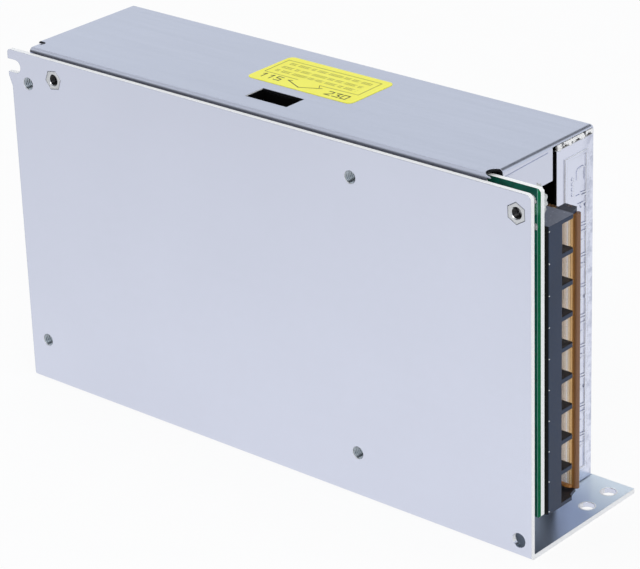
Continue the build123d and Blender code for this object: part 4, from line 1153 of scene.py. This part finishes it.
def arc(y, z, radius, start, stop, steps=10):
    """Points of an arc on the end panel, from one angle to another in degrees."""
    angles = [radians(start + (stop - start) * i / steps) for i in range(steps + 1)]
    return [(y + radius * cos(t), z + radius * sin(t)) for t in angles]


TOP_MARK = [(16.5, 97.8), (16.5, 100.3), (17.2, 101.0), (19.5, 101.2), (20.1, 100.7), (20.1, 96.9)]
ARC_HEIGHTS = (98.6, 97.05, 95.5, 93.95)
bm = bmesh.new()
score_line(bm, TOP_MARK)
for z in ARC_HEIGHTS:
    score_line(bm, arc(14.7, z, 0.5, 110, 250, 6), 0.26, 0.04)
score_line(bm, [(16.5, 93.0), (17.9, 93.0)])
score_line(bm, [(18.6, 92.5), (20.1, 92.7)])
score_line(bm, [(17.3, 90.3), (20.0, 90.2)])
for i, z in enumerate(BAY_Z):
    high = z + 1.2
    score_line(bm, [(18.7, high), (22.0, high - 0.25)])
    score_line(bm, [(18.7, high - 0.85), (22.0, high - 1.25)])
    if i % 3 == 0:
        score_line(bm, arc(19.2, high - 3.6, 0.7, 40, 320, 8))
        score_line(bm, [(20.4, high - 3.2), (21.6, high - 3.4)])
    elif i % 3 == 1:
        score_line(bm, [(18.9, high - 2.4), (22.1, high - 2.6)])
        score_line(bm, [(18.4, high - 5.2), (19.5, high - 5.1)])
    else:
        score_line(bm, arc(19.0, high - 4.0, 0.7, 90, 270, 6))
        score_line(bm, arc(20.9, high - 4.2, 0.6, 90, 270, 6))
mesh_object("end_panel_marks", bm, metal_cover)

# Crease along the flange, just below its bend
bm = bmesh.new()
score_line(bm, [(-16.4, 109.55), (-9.0, 109.8), (3.2, 110.15)], 0.24, 0.012)
mesh_object("flange_crease", bm, metal_cover)

# Torn, bright edge of the top sheet where the end panel was sheared from it and bent down
TEAR_Y = (7.1, 23.7)
TEAR_Z = (109.85, 111.05)
TEAR_DEPTH = 0.8
TEAR_STEPS = 90
bm = bmesh.new()
rows = []
for i in range(TEAR_STEPS + 1):
    y = TEAR_Y[0] + (TEAR_Y[1] - TEAR_Y[0]) * i / TEAR_STEPS
    # Waves of mixed widths make both edges and the face between them ragged
    upper = TEAR_Z[1] + 0.1 * sin(i * 1.1)
    lower = TEAR_Z[0] + 0.22 * sin(i * 1.9) + 0.2 * sin(i * 3.7 + 1.0) - 0.45 * sin(i * 0.21 + 0.6)
    out = end_x - 0.3 + 0.12 * abs(sin(i * 1.3)) + 0.14 * sin(i * 2.9) ** 2
    rows.append([
        bm.verts.new(Vector((end_x - TEAR_DEPTH, y, lower + 0.2))),
        bm.verts.new(Vector((out, y, lower))),
        bm.verts.new(Vector((out - 0.15 * sin(i * 5.1), y, (lower + upper) / 2))),
        bm.verts.new(Vector((out, y, upper))),
        bm.verts.new(Vector((end_x - TEAR_DEPTH, y, upper))),
    ])
for a, b in zip(rows, rows[1:]):
    bridge(bm, a, b)
bm.faces.new(rows[0])
bm.faces.new(rows[-1])


PIT_TINT, TORN_TINT = (0.06, 0.065, 0.08), (0.98, 0.98, 0.98)


def torn_material():
    """Fresh torn metal: bright, with dark pits."""
    material, tree, shader = new_material("sheared_metal")
    shader.inputs["Metallic"].default_value = 0.6
    pits = noise(tree, 620.0, detail=4.0, rough=0.6)
    colour = mix_colour(tree, fade_in(tree, pits, 0.40, 0.46), PIT_TINT, TORN_TINT)
    tree.links.new(colour, shader.inputs["Base Color"])
    tree.links.new(spread(tree, pits, 0.35, 0.6), shader.inputs["Roughness"])
    bump(tree, shader, pits, 0.8, 0.0001)
    return material


mesh_object("sheared_edge", bm, torn_material())


# Floor, light and camera
def backdrop_material():
    """Pale floor that keeps the object's shadow and glows white round it, also in mirrors."""
    material, tree, shader = new_material("floor_paint")
    grain = noise(tree, 40.0)
    tree.links.new(
        mix_colour(tree, spread(tree, grain, 0, 1), (0.88, 0.88, 0.89), (0.92, 0.92, 0.93)),
        shader.inputs["Base Color"],
    )
    shader.inputs["Roughness"].default_value = 0.9
    shader.inputs["Specular IOR Level"].default_value = 0.1
    glow = add(tree, "ShaderNodeEmission")
    rays = add(tree, "ShaderNodeLightPath").outputs
    reach = add(tree, "ShaderNodeVectorMath", operation="LENGTH")
    tree.links.new(object_point(tree), reach.inputs[0])
    pool = spread(tree, reach.outputs["Value"], 1.0, 0.86, 0.10, 0.42)
    fade = all_of(tree, rays["Is Glossy Ray"], maths(tree, "SUBTRACT", 1.0, pool))
    tree.links.new(maths(tree, "SUBTRACT", 1.0, fade), glow.inputs["Strength"])
    seen = share_of(tree, rays["Is Camera Ray"], 0.9)
    mirrored = share_of(tree, rays["Is Glossy Ray"], 0.85)
    through = share_of(tree, rays["Is Transmission Ray"], 0.6)
    mixer = add(tree, "ShaderNodeMixShader")
    tree.links.new(any_of(tree, seen, mirrored, through), mixer.inputs[0])
    tree.links.new(shader.outputs[0], mixer.inputs[1])
    tree.links.new(glow.outputs[0], mixer.inputs[2])
    output = next(n for n in tree.nodes if n.type == "OUTPUT_MATERIAL")
    tree.links.new(mixer.outputs[0], output.inputs["Surface"])
    return material


FLOOR_SIZE = 6.0
FLOOR_GAP = 0.0002
floor_mesh = bpy.data.meshes.new("floor")
floor_bm = bmesh.new()
bmesh.ops.create_grid(floor_bm, x_segments=4, y_segments=4, size=FLOOR_SIZE)
floor_bm.to_mesh(floor_mesh)
floor_bm.free()
floor = bpy.data.objects.new("floor", floor_mesh)
floor.location.z = cad_low.z - FLOOR_GAP
bpy.context.scene.collection.objects.link(floor)
floor_mesh.materials.append(backdrop_material())

# World: a soft sky lights the object, and plain white stands behind it
world = bpy.data.worlds.new("studio")
bpy.context.scene.world = world
world.use_nodes = True
world_tree = world.node_tree
sky = next(n for n in world_tree.nodes if n.type == "BACKGROUND")
sky.inputs["Color"].default_value = (0.93, 0.96, 1.0, 1)
sky.inputs["Strength"].default_value = 0.62
white = add(world_tree, "ShaderNodeBackground")
white.inputs["Strength"].default_value = 1.0
rays = add(world_tree, "ShaderNodeLightPath").outputs
direct = any_of(world_tree, rays["Is Camera Ray"], rays["Is Transmission Ray"])

# What metal mirrors: a bright backdrop, a dark gap above it and a bright ceiling
direction = add(world_tree, "ShaderNodeTexCoord")
height_split = add(world_tree, "ShaderNodeSeparateXYZ")
world_tree.links.new(direction.outputs["Generated"], height_split.inputs[0])
STUDIO_LEVELS = [(0.0, 0.82), (0.48, 0.82), (0.58, 0.16), (0.80, 0.12), (0.90, 0.75), (1.0, 0.85)]
studio_bands = [(at, (level * 0.96, level, level * 1.05)) for at, level in STUDIO_LEVELS]
studio = colour_ramp(world_tree, height_split.outputs[2], studio_bands)
glossy = all_of(world_tree, rays["Is Glossy Ray"], maths(world_tree, "SUBTRACT", 1.0, direct))
# A dark flag stands low at the front left
flag = add(world_tree, "ShaderNodeVectorMath", operation="DOT_PRODUCT")
world_tree.links.new(direction.outputs["Generated"], flag.inputs[0])
flag.inputs[1].default_value = (-0.62, -0.72, 0.31)
shade = spread(world_tree, flag.outputs["Value"], 1.0, 0.25, 0.86, 0.93)
mirrored = mix_colour(world_tree, 1.0, studio, shade, "MULTIPLY")
backdrop = mix_colour(world_tree, glossy, (1.0, 1.0, 1.0), mirrored)
world_tree.links.new(backdrop, white.inputs["Color"])
world_mix = add(world_tree, "ShaderNodeMixShader")
world_tree.links.new(any_of(world_tree, direct, glossy), world_mix.inputs[0])
world_tree.links.new(sky.outputs[0], world_mix.inputs[1])
world_tree.links.new(white.outputs[0], world_mix.inputs[2])
world_output = next(n for n in world_tree.nodes if n.type == "OUTPUT_WORLD")
world_tree.links.new(world_mix.outputs[0], world_output.inputs["Surface"])


def softbox(name, place, target, size, watts, colour=(1, 1, 1)):
    """A rectangular lamp at a place in metres, aimed at a target."""
    lamp = bpy.data.lights.new(name, "AREA")
    lamp.shape = "RECTANGLE"
    lamp.size, lamp.size_y = size
    lamp.energy = watts
    lamp.color = colour
    holder = bpy.data.objects.new(name, lamp)
    holder.location = place
    holder.rotation_mode = "QUATERNION"
    holder.rotation_quaternion = (Vector(target) - Vector(place)).to_track_quat("-Z", "Y")
    bpy.context.scene.collection.objects.link(holder)


lamp_target = (0.0, 0.0, 0.055)
softbox("key_softbox", (0.85, -0.95, 1.35), lamp_target, (1.1, 0.8), 8.3, (1.0, 0.99, 0.97))
softbox("fill_softbox", (-1.2, -0.9, 0.9), lamp_target, (0.8, 0.8), 2.0, (0.96, 0.98, 1.0))
softbox("ceiling_softbox", (-0.1, 0.2, 1.8), lamp_target, (1.2, 0.9), 4.6)

# Camera: angles in degrees and offset in millimetres, worked out from the case's edges
azimuth, elevation, roll = radians(41.304), radians(24.301), radians(-2.003)
AIM = Vector((0.8, 0.0, 55.0))
OFFSET = Vector((-1.404, -5.186, 854.89))
LENS = 161.143
back = Vector((sin(azimuth) * cos(elevation), -cos(azimuth) * cos(elevation), sin(elevation)))
level_right = (-back).cross(Z).normalized()
level_up = level_right.cross(-back)
right = level_right * cos(roll) + level_up * sin(roll)
up = level_up * cos(roll) - level_right * sin(roll)
place = AIM - (right * OFFSET.x - up * OFFSET.y - back * OFFSET.z)
camera_data = bpy.data.cameras.new("camera")
camera_data.lens = LENS
camera_data.sensor_width = 36.0
camera_data.clip_start = 0.05
camera = bpy.data.objects.new("camera", camera_data)
camera.matrix_world = Matrix((
    (right.x, up.x, back.x, place.x * MM),
    (right.y, up.y, back.y, place.y * MM),
    (right.z, up.z, back.z, place.z * MM),
    (0, 0, 0, 1),
))
bpy.context.scene.collection.objects.link(camera)
bpy.context.scene.camera = camera
bpy.context.scene.view_settings.view_transform = "Standard"
